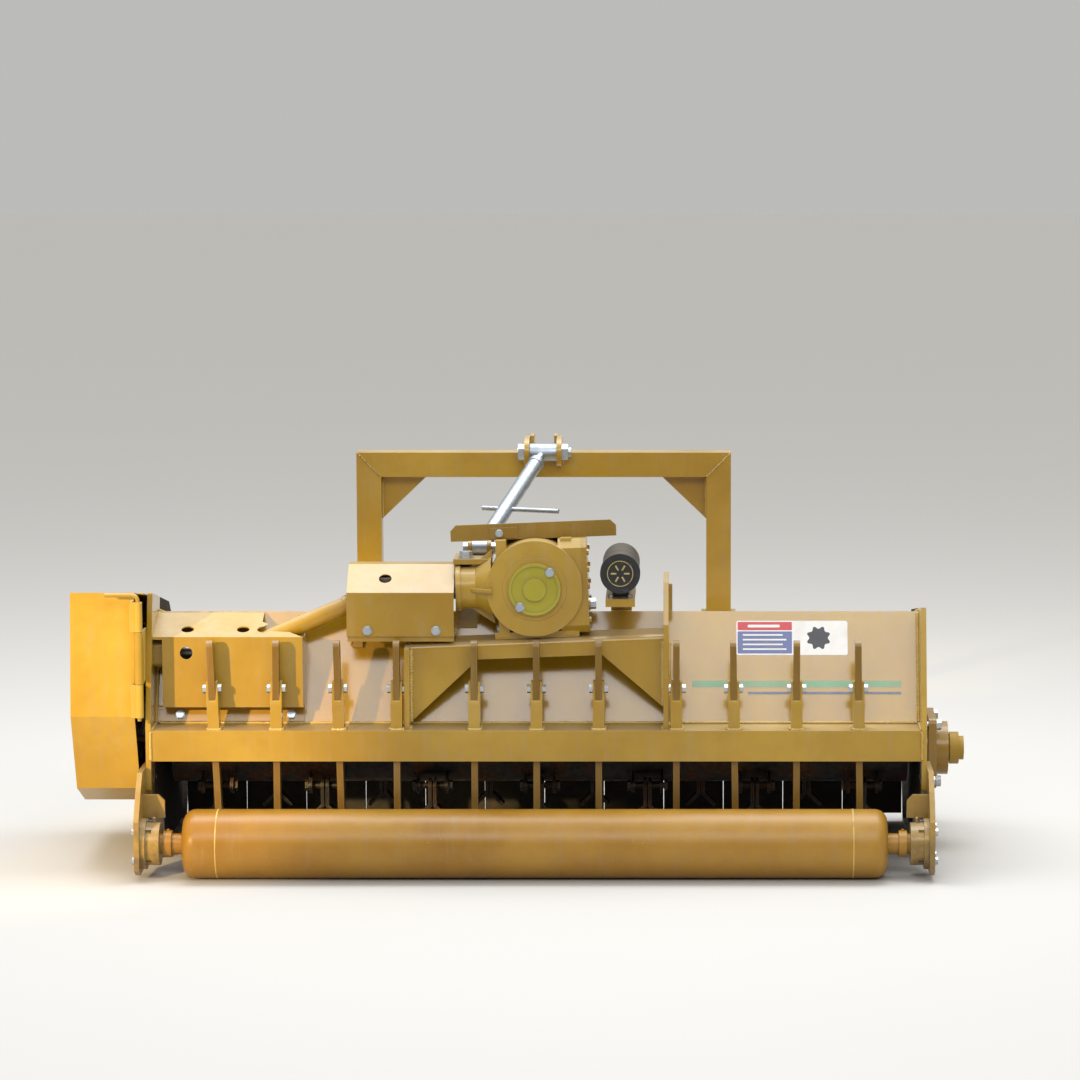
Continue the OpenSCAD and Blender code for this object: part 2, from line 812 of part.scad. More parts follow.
module idler_arm() {
    x0 = -975;
    d = idler_c - idler_pivot;
    color(steel) at_origin() {
        difference() {
            union() {
                rod_x(22, x0, half_out * -1 - 1, idler_pivot[0], idler_pivot[1]);
                translate([x0, idler_pivot[0], idler_pivot[1]])
                    rotate([atan2(d[1], d[0]), 0, 0])
                    box_at(0.4, 9.6, 15, norm(d) - 6, -14, 14);
                rod_x(20, x0, x0 + 10, idler_c[0], idler_c[1]);
            }
            rod_x(10 + run_gap, x0 - 1, -half_out, idler_pivot[0], idler_pivot[1]);
        }
        rod_x(10, -pulley_x0 - pulley_w - 4, x0 + 5, idler_c[0], idler_c[1]);
    }
}

module idler_pulley() {
    color(steel) at_origin() difference() {
        rod_x(idler_r, -pulley_x0 - pulley_w, -pulley_x0, idler_c[0], idler_c[1]);
        rod_x(10 + run_gap, -1200, -900, idler_c[0], idler_c[1]);
        rod_x(idler_r - 8, -pulley_x0 - pulley_w - 1, -pulley_x0 - pulley_w + 30, idler_c[0],
            idler_c[1]);
    }
}

// ---- belt guard ----

// Y of the guard's rear face at height z, above its crease
function guard_rear(z) = 78 + 28 * (z - 384) / 302;

module belt_guard() {
    inner = inset(guard_path, guard_t);
    color(gold) at_origin() {
        difference() {
            side_view(-guard_x0, -guard_x1) polygon(guard_path);
            side_view(-guard_x0 + guard_t, -guard_x1 + 1) polygon(inner);
        }
        // rim that reaches past the edge of the side plate
        side_view(-guard_x1 - 1, -962) polygon(folded([[130, 681.61], guard_path[3],
            guard_path[4], guard_path[5], guard_path[6], guard_path[7], [216, 169.22]], guard_t));
        for (z = [[384, 466], [596, 669]]) guard_knuckle(z[0], z[1]);
    }
}

// Knuckle with the bent leaf that joins it to the guard's rear wall
module guard_knuckle(z0, z1) {
    y0 = hinge[1] - 4;
    difference() {
        union() {
            translate([hinge[0], hinge[1], z0]) cylinder(r = knuckle_r, h = z1 - z0);
            side_view(-guard_x1 - 6, -guard_x1) polygon([[y0, z0], [guard_rear(z0) + 1, z0],
                [guard_rear(z1) + 1, z1], [y0, z1]]);
            box_at(-guard_x1 - 6, hinge[0], y0, y0 + 4, z0, z1);
        }
        translate([hinge[0], hinge[1], z0 - 1]) cylinder(r = 5 + run_gap, h = z1 - z0 + 2);
    }
}

module guard_hinge_fixed() {
    color(gold) at_origin() difference() {
        union() {
            translate([hinge[0], hinge[1], 467]) cylinder(r = knuckle_r, h = 128);
            box_at(-962.2, -half_out, hinge[1], 140, 467, 595);
        }
        translate([hinge[0], hinge[1], 460]) cylinder(r = 5 + run_gap, h = 140);
    }
}

// Long pin with its top bent over as a handle
module guard_hinge_pin() {
    bend = 14;
    color(gold) at_origin() translate([hinge[0], hinge[1], 0]) {
        translate([0, 0, 376]) cylinder(r = 5, h = 296);
        translate([-bend, 0, 672]) rotate([90, 0, 0]) rotate_extrude(angle = 90)
            translate([bend, 0]) circle(r = 5);
        translate([-bend - 66, 0, 672 + bend]) rotate([0, 90, 0]) cylinder(r = 5, h = 66);
    }
}

// ---- bearings and brackets ----

// Outline of the roller's end bracket in side view
bracket_path = [[-70, 30], [-70, 150], [-20, 215], [20, 256], [175, 256], [202, 224], [202, 150],
    [96, 74], [70, 20], [-40, 14]];

module roller_brackets() {
    color(gold) at_origin() both_sides() {
        difference() {
            side_view(half_out, half_out + plate_t) polygon(bracket_path);
            rod_x(roller_shaft_d / 2 + 3, half_out - 1, half_out + 20, 0, roller_d / 2);
            bracket_bolt_ways();
        }
        // stiffener with a cut corner, above the bearing
        rear_view(30, 40) polygon([[905, 142], [905, 184], [920, 199], [half_out, 199],
            [half_out, 142]]);
    }
}

module roller_bearings() {
    z = roller_d / 2;
    color(gold) at_origin() both_sides() difference() {
        union() {
            rod_x(62, half_out - 12, half_out, 0, z);
            rod_x(52, half_out - 45, half_out - 12, 0, z);
            translate([half_out - 29, 0, z + 50]) cylinder(r = 4, h = 12);
            translate([half_out - 29, 0, z + 62]) sphere(r = 4.5);
        }
        rod_x(roller_shaft_d / 2 + run_gap, half_out - 60, half_out + 1, 0, z);
        bracket_bolt_ways();
    }
}

// Square flange bearing with its open end to +X
module flange_bearing(x0, y, z, shaft_r, half, body_r, x1) {
    difference() {
        union() {
            for (a = [-1, 1], b = [-1, 1]) {
                rod_x(18, x0, x0 + 20, y + a * (half - 18), z + b * (half - 18));
            }
            box_at(x0, x0 + 20, y - half, y + half, z - half + 18, z + half - 18);
            box_at(x0, x0 + 20, y - half + 18, y + half - 18, z - half, z + half);
            rod_x(body_r, x0, x1, y, z);
        }
        rod_x(shaft_r + run_gap, x0 - 1, x1 + 1, y, z);
    }
}

module shaft_bearings() {
    color(gold) at_origin() difference() {
        union() {
            // rotor, right side, on its spacer ring
            difference() {
                rod_x(84, half_out, 976, rotor_y, rotor_z);
                rod_x(rotor_shaft_d / 2 + 4, half_out - 1, 980, rotor_y, rotor_z);
            }
            flange_bearing(976, rotor_y, rotor_z, rotor_shaft_d / 2, 90, 67, 1028);
            // rotor, left side
            mirror([1, 0, 0]) flange_bearing(half_out, rotor_y, rotor_z, rotor_shaft_d / 2, 80, 60,
                992);
            // jackshaft, both faces of the left plate
            mirror([1, 0, 0]) flange_bearing(half_out, drive_y, joint_2[2], 20, 55, 42, 990);
            flange_bearing(-half_in, drive_y, joint_2[2], 20, 34, 31, 20.5 - half_in);
        }
        // bolt ways
        for (a = [-1, 1], b = [-1, 1]) {
            rod_x(8.3, 950, 998, rotor_y + a * 72, rotor_z + b * 72);
            rod_x(8.3, -979, -950, rotor_y + a * 62, rotor_z + b * 62);
            rod_x(5.3, -979, -950, drive_y + a * 37, joint_2[2] + b * 37);
        }
    }
}

// ---- covers ----

cover_t = 3.2;

module u_joint_cover() {
    x0 = -466;
    x1 = -203;
    y0 = 142;
    path = [[y0, 572], [y0, 680.5], [228, 740], [272, 740], [272, 690]];
    color(gold) at_origin() difference() {
        union() {
            side_view(x0, x1) polygon(folded(path, cover_t));
            side_view(x0, x0 + cover_t) polygon(concat(path, [[272, 574], [146, 574]]));
        }
        // way out for the drive shaft
        translate(joint_1) facing(drive_v) cylinder(r = 36, h = 160);
        for (x = [-415, -247]) rod_y(6.6, y0 - 1, y0 + 10, x, 587);
        // hand hole in the slope
        translate([-373, 185, 709]) rotate([34.7, 0, 0]) cylinder(r = 15.5, h = 40, center = true);
    }
}

// Outer face of the drive box in side view, from its flange up to the deck's peak
box_path = [[189.6, 353.5], [202.2, 387], [155, 394], [155, 569], [283.5, 610.8]];

module drive_cover_box() {
    x0 = -half_in;
    x1 = -576;
    recess = -921;
    closed = [box_path[2], box_path[3], box_path[4], [289.5, 610.3], [207.5, 392.2]];
    color(gold) at_origin() difference() {
        union() {
            side_view(x0, x1) polygon(folded(box_path, cover_t));
            side_view(x1 - cover_t, x1) polygon(closed);
            side_view(recess, recess + cover_t) polygon(closed);
        }
        // recess beside the left side plate
        box_at(x0 - 1, recess, 150, 158.3, 380, 562);
        box_at(x0 - 1, recess, 150, 200, 380, 402);
        // way in for the drive shaft, cut on the slant
        translate(joint_1) facing(drive_v) cylinder(r = 33, h = 330);
        translate([0, 0, 566]) linear_extrude(100) polygon([[-570, 151], [-681, 235],
            [-681, 300], [-570, 300]]);
        rod_x(26, recess - 1, recess + 5, drive_y, joint_2[2]);
        // hand holes
        for (x = [-862, -725, -675]) translate([x, 195, 540]) cylinder(r = 15.5, h = 60);
        rod_y(15.5, 150, 160, -862, 529);
        cover_bolt_ways();
    }
}

// ---- rotor ----

row_angle = [225, 315, 135, 45];
// Direction that each row's flails hang in, as an angle from +Y towards +Z
row_hang = [270, 270, 245, 295];
row_x = [[for (i = [0:6]) -810 + 270 * i], [for (i = [0:5]) -675 + 270 * i],
    [for (i = [0:5]) -675 + 270 * i], [for (i = [0:6]) -810 + 270 * i]];

function row_pin(k) = [rotor_y + pin_circle_r * cos(row_angle[k]),
    rotor_z + pin_circle_r * sin(row_angle[k])];

module rotor_station(x, a) {
    translate([x, 0, 0]) rotate([a, 0, 0]) {
        for (s = [-40, 32]) {
            box_at(s, s + 8, 76, pin_circle_r, -20, 20);
            rod_x(20, s, s + 8, pin_circle_r, 0);
        }
        rod_x(8, -50, 50, pin_circle_r, 0);
        for (s = [-50, 42]) {
            translate([s, pin_circle_r, 0]) rotate([0, 90, 0]) cylinder(r = 14, h = 8, $fn = 6);
        }
    }
}

module rotor() {
    color(steel) at_origin() translate([0, rotor_y, rotor_z]) {
        difference() {
            rod_x(rotor_d / 2, -925, 925, 0, 0);
            rod_x(rotor_d / 2 - 12, -900, 900, 0, 0);
        }
        rod_x(rotor_shaft_d / 2, -pulley_x0 - pulley_w - 8, -924, 0, 0);
        rod_x(rotor_shaft_d / 2, 924, x_high, 0, 0);
        ring_x(29.9, 40.5, 1033, 1056);
        for (k = [0:3]) for (x = row_x[k]) rotor_station(x, row_angle[k]);
    }
}

// One bent flail, hanging along -Z from its pin at the origin, bent to +X
module flail() {
    difference() {
        union() {
            rear_view(-20, 20) polygon(folded([[2, 0], [2, -50], [33, -82]], -8));
            rod_x(20, 2, 10, 0, 0);
        }
        rod_x(8.4, 0, 12, 0, 0);
    }
}

module flail_row(k) {
    color(steel) at_origin() translate([0, row_pin(k)[0], row_pin(k)[1]])
        rotate([row_hang[k] - 270, 0, 0]) for (x = row_x[k]) translate([x, 0, 0]) {
            flail();
            mirror([1, 0, 0]) flail();
        }
}

module flail_row_1() flail_row(0);
module flail_row_2() flail_row(1);
module flail_row_3() flail_row(2);
module flail_row_4() flail_row(3);

// ---- roller ----

module ground_roller() {
    r = roller_d / 2;
    h = roller_w / 2;
    crown = 30;
    end = [for (a = [90:-15:0]) [r - crown + crown * sin(a), h - crown + crown * cos(a)]];
    color(gold) at_origin() translate([0, 0, r]) {
        difference() {
            rotate([0, 90, 0]) rotate_extrude($fn = 128)
                polygon(concat([[0, -h]], [for (i = [len(end) - 1:-1:0]) [end[i][0], -end[i][1]]],
                end, [[0, h]]));
            rod_x(r - 8, -h + 40, h - 40, 0, 0);
        }
        both_sides() {
            rod_x(roller_shaft_d / 2, h - 1, half_out + 8, 0, 0);
            ring_x(roller_shaft_d / 2 - 0.1, 32.5, 884, 904);
            // set screw
            translate([894, 0, 32]) cylinder(r = 4, h = 4);
        }
    }
}

// ---- front curtain ----

module front_curtain() {
    flap_w = 153.2;
    pitch = 154.8;
    color(black) at_origin() {
        rod_x(6.35, -half_in + 4, half_in - 4, 700, 316);
        for (i = [-5.5:1:5.5]) {
            side_view(i * pitch - flap_w / 2, i * pitch + flap_w / 2) polygon([[697, 22],
                [705, 22], [705, 300], [697, 300]]);
            for (s = [-50, 0, 50]) {
                difference() {
                    union() {
                        rod_x(11, i * pitch + s - 14, i * pitch + s + 14, 700, 316);
                        box_at(i * pitch + s - 14, i * pitch + s + 14, 697, 705, 298, 312);
                    }
                    rod_x(6.3, i * pitch + s - 20, i * pitch + s + 20, 700, 316);
                }
            }
        }
    }
}

// ---- canister and brace ----

module manual_canister() {
    color(black) at_origin() difference() {
        union() {
            rod_y(can_r, can_c[1] + 14, can_c[1] + can_len, can_c[0], can_c[2]);
            // saddle under the tube
            for (y = [150, 290]) box_at(can_c[0] - 20, can_c[0] + 20, y, y + 24, tray_z,
                can_c[2] - 40);
        }
        rod_y(can_r - 3, can_c[1] + 13, can_c[1] + can_len - 4, can_c[0], can_c[2]);
    }
}

module canister_lid() {
    color(black) at_origin() difference() {
        rod_y(can_r + 3, can_c[1], can_c[1] + 26, can_c[0], can_c[2]);
        rod_y(can_r + 0.3, can_c[1] + 13.7, can_c[1] + 27, can_c[0], can_c[2]);
        rod_y(can_r - 8, can_c[1] - 1, can_c[1] + 2, can_c[0], can_c[2]);
    }
}

eye_shank = 100;
barrel_end = 62;

module brace_eyes() {
    color(zinc) at_origin() {
        brace_eye(brace_low, brace_v, 18.6, 9.5);
        brace_eye(brace_top, -brace_v, 34.6, 12.7);
    }
}

module brace_eye(place, dir, half_w, bore) {
    difference() {
        union() {
            translate(place) facing(dir) cylinder(r = 11, h = eye_shank);
            rod_x(bore + 10, place[0] - half_w, place[0] + half_w, place[1], place[2]);
        }
        rod_x(bore + 0.05, place[0] - 60, place[0] + 60, place[1], place[2]);
    }
}

module brace_barrel() {
    color(zinc) at_origin() translate(brace_low) facing(brace_v) difference() {
        union() {
            translate([0, 0, barrel_end]) cylinder(r = 19, h = brace_len - 2 * barrel_end);
            for (z = [barrel_end - 12, brace_len - barrel_end - 4]) {
                translate([0, 0, z]) cylinder(r = 20.5, h = 16);
            }
        }
        translate([0, 0, 40]) cylinder(r = 11 + run_gap, h = brace_len - 80);
        translate([0, 0, tommy_at]) rotate([90, 0, 0])
            cylinder(r = 6 + run_gap, h = 60, center = true);
    }
}

// Loose bar through the barrel, slid most of the way to the right
module tommy_bar() {
    color(zinc) at_origin() translate(brace_low) facing(brace_v) translate([0, -40, tommy_at])
        rotate([90, 0, 0]) cylinder(r = 6, h = 205, center = true);
}

// ---- bolts ----

// Height of finger i's nut on one side: thin beside the stand's plates
function nut_h(i, side) = abs(finger_x[i]) == 343 && sign(finger_x[i]) != side ? 4.6 : 9;

module frame_bolts() {
    color(zinc) at_origin() {
        // clamp bolts of the rake fingers
        for (i = [0:len(finger_x) - 1]) {
            translate([finger_x[i], finger_y, beam_top]) rotate([0, finger_lean[i], 0]) {
                left = nut_h(i, -1);
                right = nut_h(i, 1);
                z = finger_bolt_z - beam_top;
                rod_x(finger_bolt_r, -socket_w / 2 - left, socket_w / 2 + right, 0, z);
                translate([-socket_w / 2 - left, 0, z]) rotate([0, 90, 0])
                    cylinder(r = 11, h = left, $fn = 6);
                translate([socket_w / 2, 0, z]) rotate([0, 90, 0])
                    cylinder(r = 11, h = right, $fn = 6);
            }
        }
        // roller brackets and roller bearings
        both_sides() {
            for (p = bracket_bolts) {
                bolt_x(half_out + plate_t, p[0], p[1], 6.35, 19, 2 * plate_t);
            }
            for (a = [45:90:315]) {
                bolt_x(half_out + plate_t, 50 * cos(a), roller_d / 2 + 50 * sin(a), 5, 16, 25);
            }
        }
        // shaft bearings
        for (a = [-1, 1], b = [-1, 1]) {
            bolt_x(996, rotor_y + a * 72, rotor_z + b * 72, 8, 24, 39);
            mirror([1, 0, 0]) {
                bolt_x(977, rotor_y + a * 62, rotor_z + b * 62, 8, 24, 20);
                bolt_x(977, drive_y + a * 37, joint_2[2] + b * 37, 5, 16, 20);
            }
        }
        // covers
        for (x = [-415, -247]) bolt_y(x, 142, 587, 6.35, 19, 8);
        for (x = [-883, -608]) translate([x, 194.9, 369.3]) rotate([-20.6, 0, 0])
            bolt_y(0, 0, 0, 6.35, 19, 10);
        // brace bolts
        rod_x(9.5, -186, -104, brace_low[1], brace_low[2]);
        for (x = [-186, -116]) {
            translate([x, brace_low[1], brace_low[2]]) rotate([0, 90, 0])
                cylinder(r = 14.8, h = 12, $fn = 6);
        }
        rod_x(12.7, -66, 72, brace_top[1], brace_top[2]);
        for (x = [-64, 48]) {
            translate([x, brace_top[1], brace_top[2]]) rotate([0, 90, 0])
                cylinder(r = 21, h = 16, $fn = 6);
        }
        translate([-176, 228, 756]) hex_head(28.6, 13, 19, 3);
        translate([-176, 228, 740]) cylinder(r = 9.5, h = 20);
        // nuts of the canister's saddle
        for (x = [-23, 23]) translate([can_c[0] + x, 136, tray_z]) cylinder(r = 6.5, h = 7, $fn = 6);
        // idler pivot
        rod_x(10, -979, -half_out, idler_pivot[0], idler_pivot[1]);
        translate([-988, idler_pivot[0], idler_pivot[1]]) rotate([0, 90, 0])
            cylinder(r = 16, h = 10, $fn = 6);
    }
}

module rake_finger_1() { color(gold) at_origin() rake_finger(0); }
module rake_finger_2() { color(gold) at_origin() rake_finger(1); }
module rake_finger_3() { color(gold) at_origin() rake_finger(2); }
module rake_finger_4() { color(gold) at_origin() rake_finger(3); }
module rake_finger_5() { color(gold) at_origin() rake_finger(4); }
module rake_finger_6() { color(gold) at_origin() rake_finger(5); }
module rake_finger_7() { color(gold) at_origin() rake_finger(6); }
module rake_finger_8() { color(gold) at_origin() rake_finger(7); }
module rake_finger_9() { color(gold) at_origin() rake_finger(8); }
module rake_finger_10() { color(gold) at_origin() rake_finger(9); }
module rake_finger_11() { color(gold) at_origin() rake_finger(10); }

left_side_plate();
right_side_plate();
deck_shell();
rear_beam();
front_rail();
finger_sockets();
skid_shoes();
gearbox_stand();
hitch_frame();
hitch_plates();
lower_hitch_pins();
gearbox_casing();
gearbox_rear_cap();
gearbox_side_cover();
gearbox_bearings();
pto_shield();
u_joint_cover();
drive_cover_box();
roller_brackets();
roller_bearings();
shaft_bearings();
guard_hinge_fixed();
manual_canister();
frame_bolts();
gearbox_hardware();
rake_finger_1();
rake_finger_2();
rake_finger_3();
rake_finger_4();
rake_finger_5();
rake_finger_6();
rake_finger_7();
rake_finger_8();
rake_finger_9();
rake_finger_10();
rake_finger_11();
ground_roller();
rotor();
flail_row_1();
flail_row_2();
flail_row_3();
flail_row_4();
input_shaft();
bevel_gear();
bevel_pinion();
output_shaft();
drive_shaft();
jackshaft();
upper_pulley();
lower_pulley();
drive_belts();
idler_arm();
idler_pulley();
belt_guard();
guard_hinge_pin();
canister_lid();
brace_eyes();
brace_barrel();
tommy_bar();
front_curtain();
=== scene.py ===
"""The looks of a rear-mounted flail mower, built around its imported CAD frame."""
import math
import random

import bmesh
import bpy
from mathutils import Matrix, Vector


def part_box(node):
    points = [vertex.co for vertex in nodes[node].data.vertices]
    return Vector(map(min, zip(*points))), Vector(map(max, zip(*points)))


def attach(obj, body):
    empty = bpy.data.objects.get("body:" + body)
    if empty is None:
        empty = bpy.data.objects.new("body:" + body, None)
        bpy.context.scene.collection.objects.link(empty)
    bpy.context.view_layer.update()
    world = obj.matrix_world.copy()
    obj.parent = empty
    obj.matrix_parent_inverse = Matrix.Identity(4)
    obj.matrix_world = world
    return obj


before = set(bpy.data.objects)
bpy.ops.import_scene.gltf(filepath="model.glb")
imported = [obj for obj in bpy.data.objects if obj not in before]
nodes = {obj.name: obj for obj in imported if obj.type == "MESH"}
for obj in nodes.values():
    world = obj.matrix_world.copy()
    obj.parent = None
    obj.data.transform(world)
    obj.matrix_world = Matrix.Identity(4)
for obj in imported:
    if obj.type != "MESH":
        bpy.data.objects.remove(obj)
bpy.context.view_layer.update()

MM = 0.001
deck_low, deck_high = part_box("deck_shell")
roller_low, roller_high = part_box("ground_roller")
# Places below are in millimetres: X from the deck's middle, Y forward from the roller's axis and
# Z up from the ground
ORIGIN = Vector(((deck_low.x + deck_high.x) / 2, (roller_low.y + roller_high.y) / 2, 0))


def at(x, y, z):
    """A place given in millimetres, as a point in the scene."""
    return ORIGIN + Vector((x, y, z)) * MM


def in_mm(p):
    """The opposite of at()."""
    return (p - ORIGIN) / MM


# ---- material building ----

class Paintbox:
    """Node tree of one material, with short calls for the nodes that the finishes share."""

    def __init__(self, name):
        self.mat = bpy.data.materials.new(name)
        self.mat.use_nodes = True
        self.tree = self.mat.node_tree
        self.tree.nodes.clear()
        self.bsdf = self.tree.nodes.new("ShaderNodeBsdfPrincipled")
        out = self.tree.nodes.new("ShaderNodeOutputMaterial")
        self.tree.links.new(self.bsdf.outputs[0], out.inputs[0])
        self.coords = self.tree.nodes.new("ShaderNodeTexCoord")
        self.geometry = self.tree.nodes.new("ShaderNodeNewGeometry")

    def put(self, socket, value):
        if isinstance(value, bpy.types.NodeSocket):
            self.tree.links.new(value, socket)
        elif (isinstance(value, (tuple, list)) and len(value) == 3
                and len(socket.default_value) == 4):
            socket.default_value = (*value, 1.0)
        else:
            socket.default_value = value

    def add(self, kind, inputs=(), out=0, **props):
        """A new node with these inputs and properties. Gives back one of its outputs."""
        node = self.tree.nodes.new(kind)
        for key, value in props.items():
            setattr(node, key, value)
        for key, value in dict(inputs).items():
            self.put(node.inputs[key], value)
        return node.outputs[out]

    def stretch(self, sx, sy, sz, seed=0.0):
        return self.add("ShaderNodeMapping", {"Vector": self.coords.outputs["Object"],
            "Scale": (sx, sy, sz), "Location": (seed, seed * 0.7, seed * 1.3)})

    def noise(self, scale, detail=3.0, rough=0.55, vector=None, seed=0.0):
        return self.add("ShaderNodeTexNoise", {"Vector": vector or self.stretch(1, 1, 1, seed),
            "Scale": scale, "Detail": detail, "Roughness": rough})

    def ramp(self, value, low, high, a=0.0, b=1.0):
        """a up to the value low, b from the value high, and straight between."""
        return self.add("ShaderNodeMapRange", {"Value": value, "From Min": low, "From Max": high,
            "To Min": a, "To Max": b}, clamp=True)

    def math(self, op, a, b=0.0):
        return self.add("ShaderNodeMath", {0: a, 1: b}, operation=op, use_clamp=False)

    def mix(self, factor, a, b):
        node = self.tree.nodes.new("ShaderNodeMix")
        node.data_type = "RGBA"
        self.put(node.inputs["Factor"], factor)
        self.put(node.inputs[6], a)
        self.put(node.inputs[7], b)
        return node.outputs[2]

    def split(self, vector, axis):
        return self.add("ShaderNodeSeparateXYZ", {0: vector}, out=axis)

    def facing_up(self):
        return self.split(self.geometry.outputs["Normal"], 2)

    def height(self):
        return self.split(self.coords.outputs["Object"], 2)

    def round_edges(self, radius):
        return self.add("ShaderNodeBevel", {"Radius": radius}, samples=4)

    def edge(self, radius, low, high):
        """1 on sharp edges and 0 on flats, from how far a rounded normal turns."""
        dot = self.add("ShaderNodeVectorMath", {0: self.round_edges(radius),
            1: self.geometry.outputs["Normal"]}, out=1, operation="DOT_PRODUCT")
        return self.ramp(dot, high, low)

    def bump(self, height, strength, distance, normal=None):
        return self.add("ShaderNodeBump", {"Height": height, "Strength": strength,
            "Distance": distance, "Normal": normal or self.geometry.outputs["Normal"]})

    def finish(self, **values):
        """Sets the shader's inputs by their names in lower case, and gives back the material."""
        for key, value in values.items():
            label = key.replace("_", " ").title().replace("Ior", "IOR")
            self.put(self.bsdf.inputs[label], value)
        return self.mat


GOLD = (0.40, 0.243, 0.011)
PALE_GOLD = (0.47, 0.285, 0.016)
DARK_GOLD = (0.35, 0.21, 0.018)
RUST = (0.12, 0.045, 0.018)
# Pale dusty colour; on the enamel's tops it also stands in for a painted sheen
DUST = (0.52, 0.47, 0.38)
SOIL = (0.075, 0.055, 0.038)
PRIMER = (0.22, 0.14, 0.05)
GREY_FILM = (0.34, 0.29, 0.2)
RUBBED_PAINT = (0.62, 0.52, 0.3)
# Near-black colours of the painted shade inside the cutting chamber
CHAMBER_SHADE_COLOURS = ((0.012, 0.009, 0.006), (0.03, 0.022, 0.015))


def enamel(name, colour, gloss=0.3, wear=0.5, pale_layer=0.35, soil_top=0.0, inside=None, seed=0.0,
        lacquer=0.4):
    """Machine enamel: faded patches, pale tops that are partly dusty and partly painted sheen,
    chipped edges and soil below soil_top metres.

    inside(paintbox) gives where the paint turns near black, as painted shade.
    """
    p = Paintbox(name)
    deep = tuple(c * k for c, k in zip(colour, (0.80, 0.74, 0.6)))
    pale = (min(1, colour[0] * 1.14), min(1, colour[1] * 1.18), colour[2] * 1.5 + 0.01)
    cloudy = p.noise(2.2, 4.0, 0.6, seed=seed)
    col = p.mix(p.ramp(cloudy, 0.35, 0.7), deep, pale)
    blotch = p.noise(19.0, 5.0, 0.65, seed=seed + 3)
    col = p.mix(p.ramp(blotch, 0.48, 0.8, 0, 0.45), col, deep)
    # Thin runs of grey film that rain leaves on the paint
    streak = p.noise(5.0, 4.0, 0.6, vector=p.stretch(9, 9, 1.1, seed + 5))
    film = p.math("MULTIPLY", p.ramp(streak, 0.5, 0.78), 0.22)
    col = p.mix(film, col, GREY_FILM)
    # The tops turn towards a pale colour: partly a real dusty film, partly a painted sheen that
    # stands in for the sky's reflection on them
    top = p.math("MULTIPLY", p.ramp(p.facing_up(), 0.35, 0.98),
        p.ramp(p.noise(11.0, 6.0, 0.7, seed=seed + 8), 0.3, 0.72, pale_layer * 0.35, pale_layer))
    col = p.mix(top, col, DUST)
    low = p.ramp(p.height(), soil_top * 0.15, soil_top) if soil_top else None
    if low:
        muddy = p.math("MULTIPLY", p.math("SUBTRACT", 1.0, low),
            p.ramp(p.noise(16.0, 6.0, 0.7, seed=seed + 13), 0.38, 0.7))
        col = p.mix(muddy, col, SOIL)
    rim = p.edge(0.0035, 0.82, 0.985)
    nick = p.ramp(p.noise(48.0, 5.0, 0.7, seed=seed + 17), 0.60 - 0.1 * wear, 0.68)
    chip = p.math("MULTIPLY", p.math("MULTIPLY", rim, nick), wear)
    spots = p.math("MULTIPLY", p.ramp(p.noise(85.0, 3.0, 0.5, seed=seed + 21), 0.76, 0.79), wear)
    worn = p.math("MAXIMUM", chip, spots)
    col = p.mix(worn, col, p.mix(p.ramp(blotch, 0.4, 0.6), PRIMER, RUST))
    pale_rim = p.math("MULTIPLY", rim, 0.16)
    col = p.mix(pale_rim, col, RUBBED_PAINT)
    rough = p.math("ADD", p.ramp(cloudy, 0.3, 0.7, gloss, gloss + 0.12),
        p.math("ADD", p.math("MULTIPLY", top, 0.35), p.math("MULTIPLY", worn, 0.4)))
    if inside:
        # Painted shade: the chamber's inner faces turn near black, matte and without lacquer,
        # where shade falls under the deck
        painted_shade = inside(p)
        shade_colour = p.mix(p.ramp(blotch, 0.35, 0.7), *CHAMBER_SHADE_COLOURS)
        col = p.mix(painted_shade, col, shade_colour)
        rough = p.math("MAXIMUM", rough, p.math("MULTIPLY", painted_shade, 0.9))
        lacquer = p.math("MULTIPLY", p.math("SUBTRACT", 1.0, painted_shade), lacquer)
    peel = p.noise(330.0, 2.0, 0.5)
    waves = p.noise(7.0, 2.0, 0.4, seed=seed + 2)
    normal = p.bump(waves, 0.18, 0.004, p.round_edges(0.0016))
    normal = p.bump(peel, 0.06, 0.0006, normal)
    normal = p.bump(worn, 0.35, -0.0007, normal)
    return p.finish(base_color=col, roughness=rough, normal=normal, specular_ior_level=0.36,
        coat_weight=lacquer, coat_roughness=0.12)


SHEET_SLOPE = 2.66
SHEET_LINE = (200, 347)


# The mask for the painted shade inside the cutting chamber
def chamber_side(p):
    """1 on the faces that look at the rotor from ahead of the deck's rear sheet.

    That is the inside of the cutting chamber. SHEET_SLOPE is how much the sheet rises for each
    step forward, and SHEET_LINE is a place on its inner face, in Y and Z.
    """
    spot = p.coords.outputs["Object"]
    rotor_low, rotor_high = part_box("rotor")
    middle = (rotor_low + rotor_high) / 2
    inward = p.add("ShaderNodeVectorMath", {0: p.add("ShaderNodeVectorMath",
        {0: tuple(middle), 1: spot}, operation="SUBTRACT"),
        1: p.geometry.outputs["Normal"]}, out=1, operation="DOT_PRODUCT")
    forward = p.math("SUBTRACT", p.math("MULTIPLY", p.split(spot, 1), SHEET_SLOPE), p.height())
    line = at(0, *SHEET_LINE)
    edge_line = line.y * SHEET_SLOPE - line.z
    return p.math("MULTIPLY", p.ramp(inward, 0.0, 0.02),
        p.ramp(forward, edge_line, edge_line + 0.02))


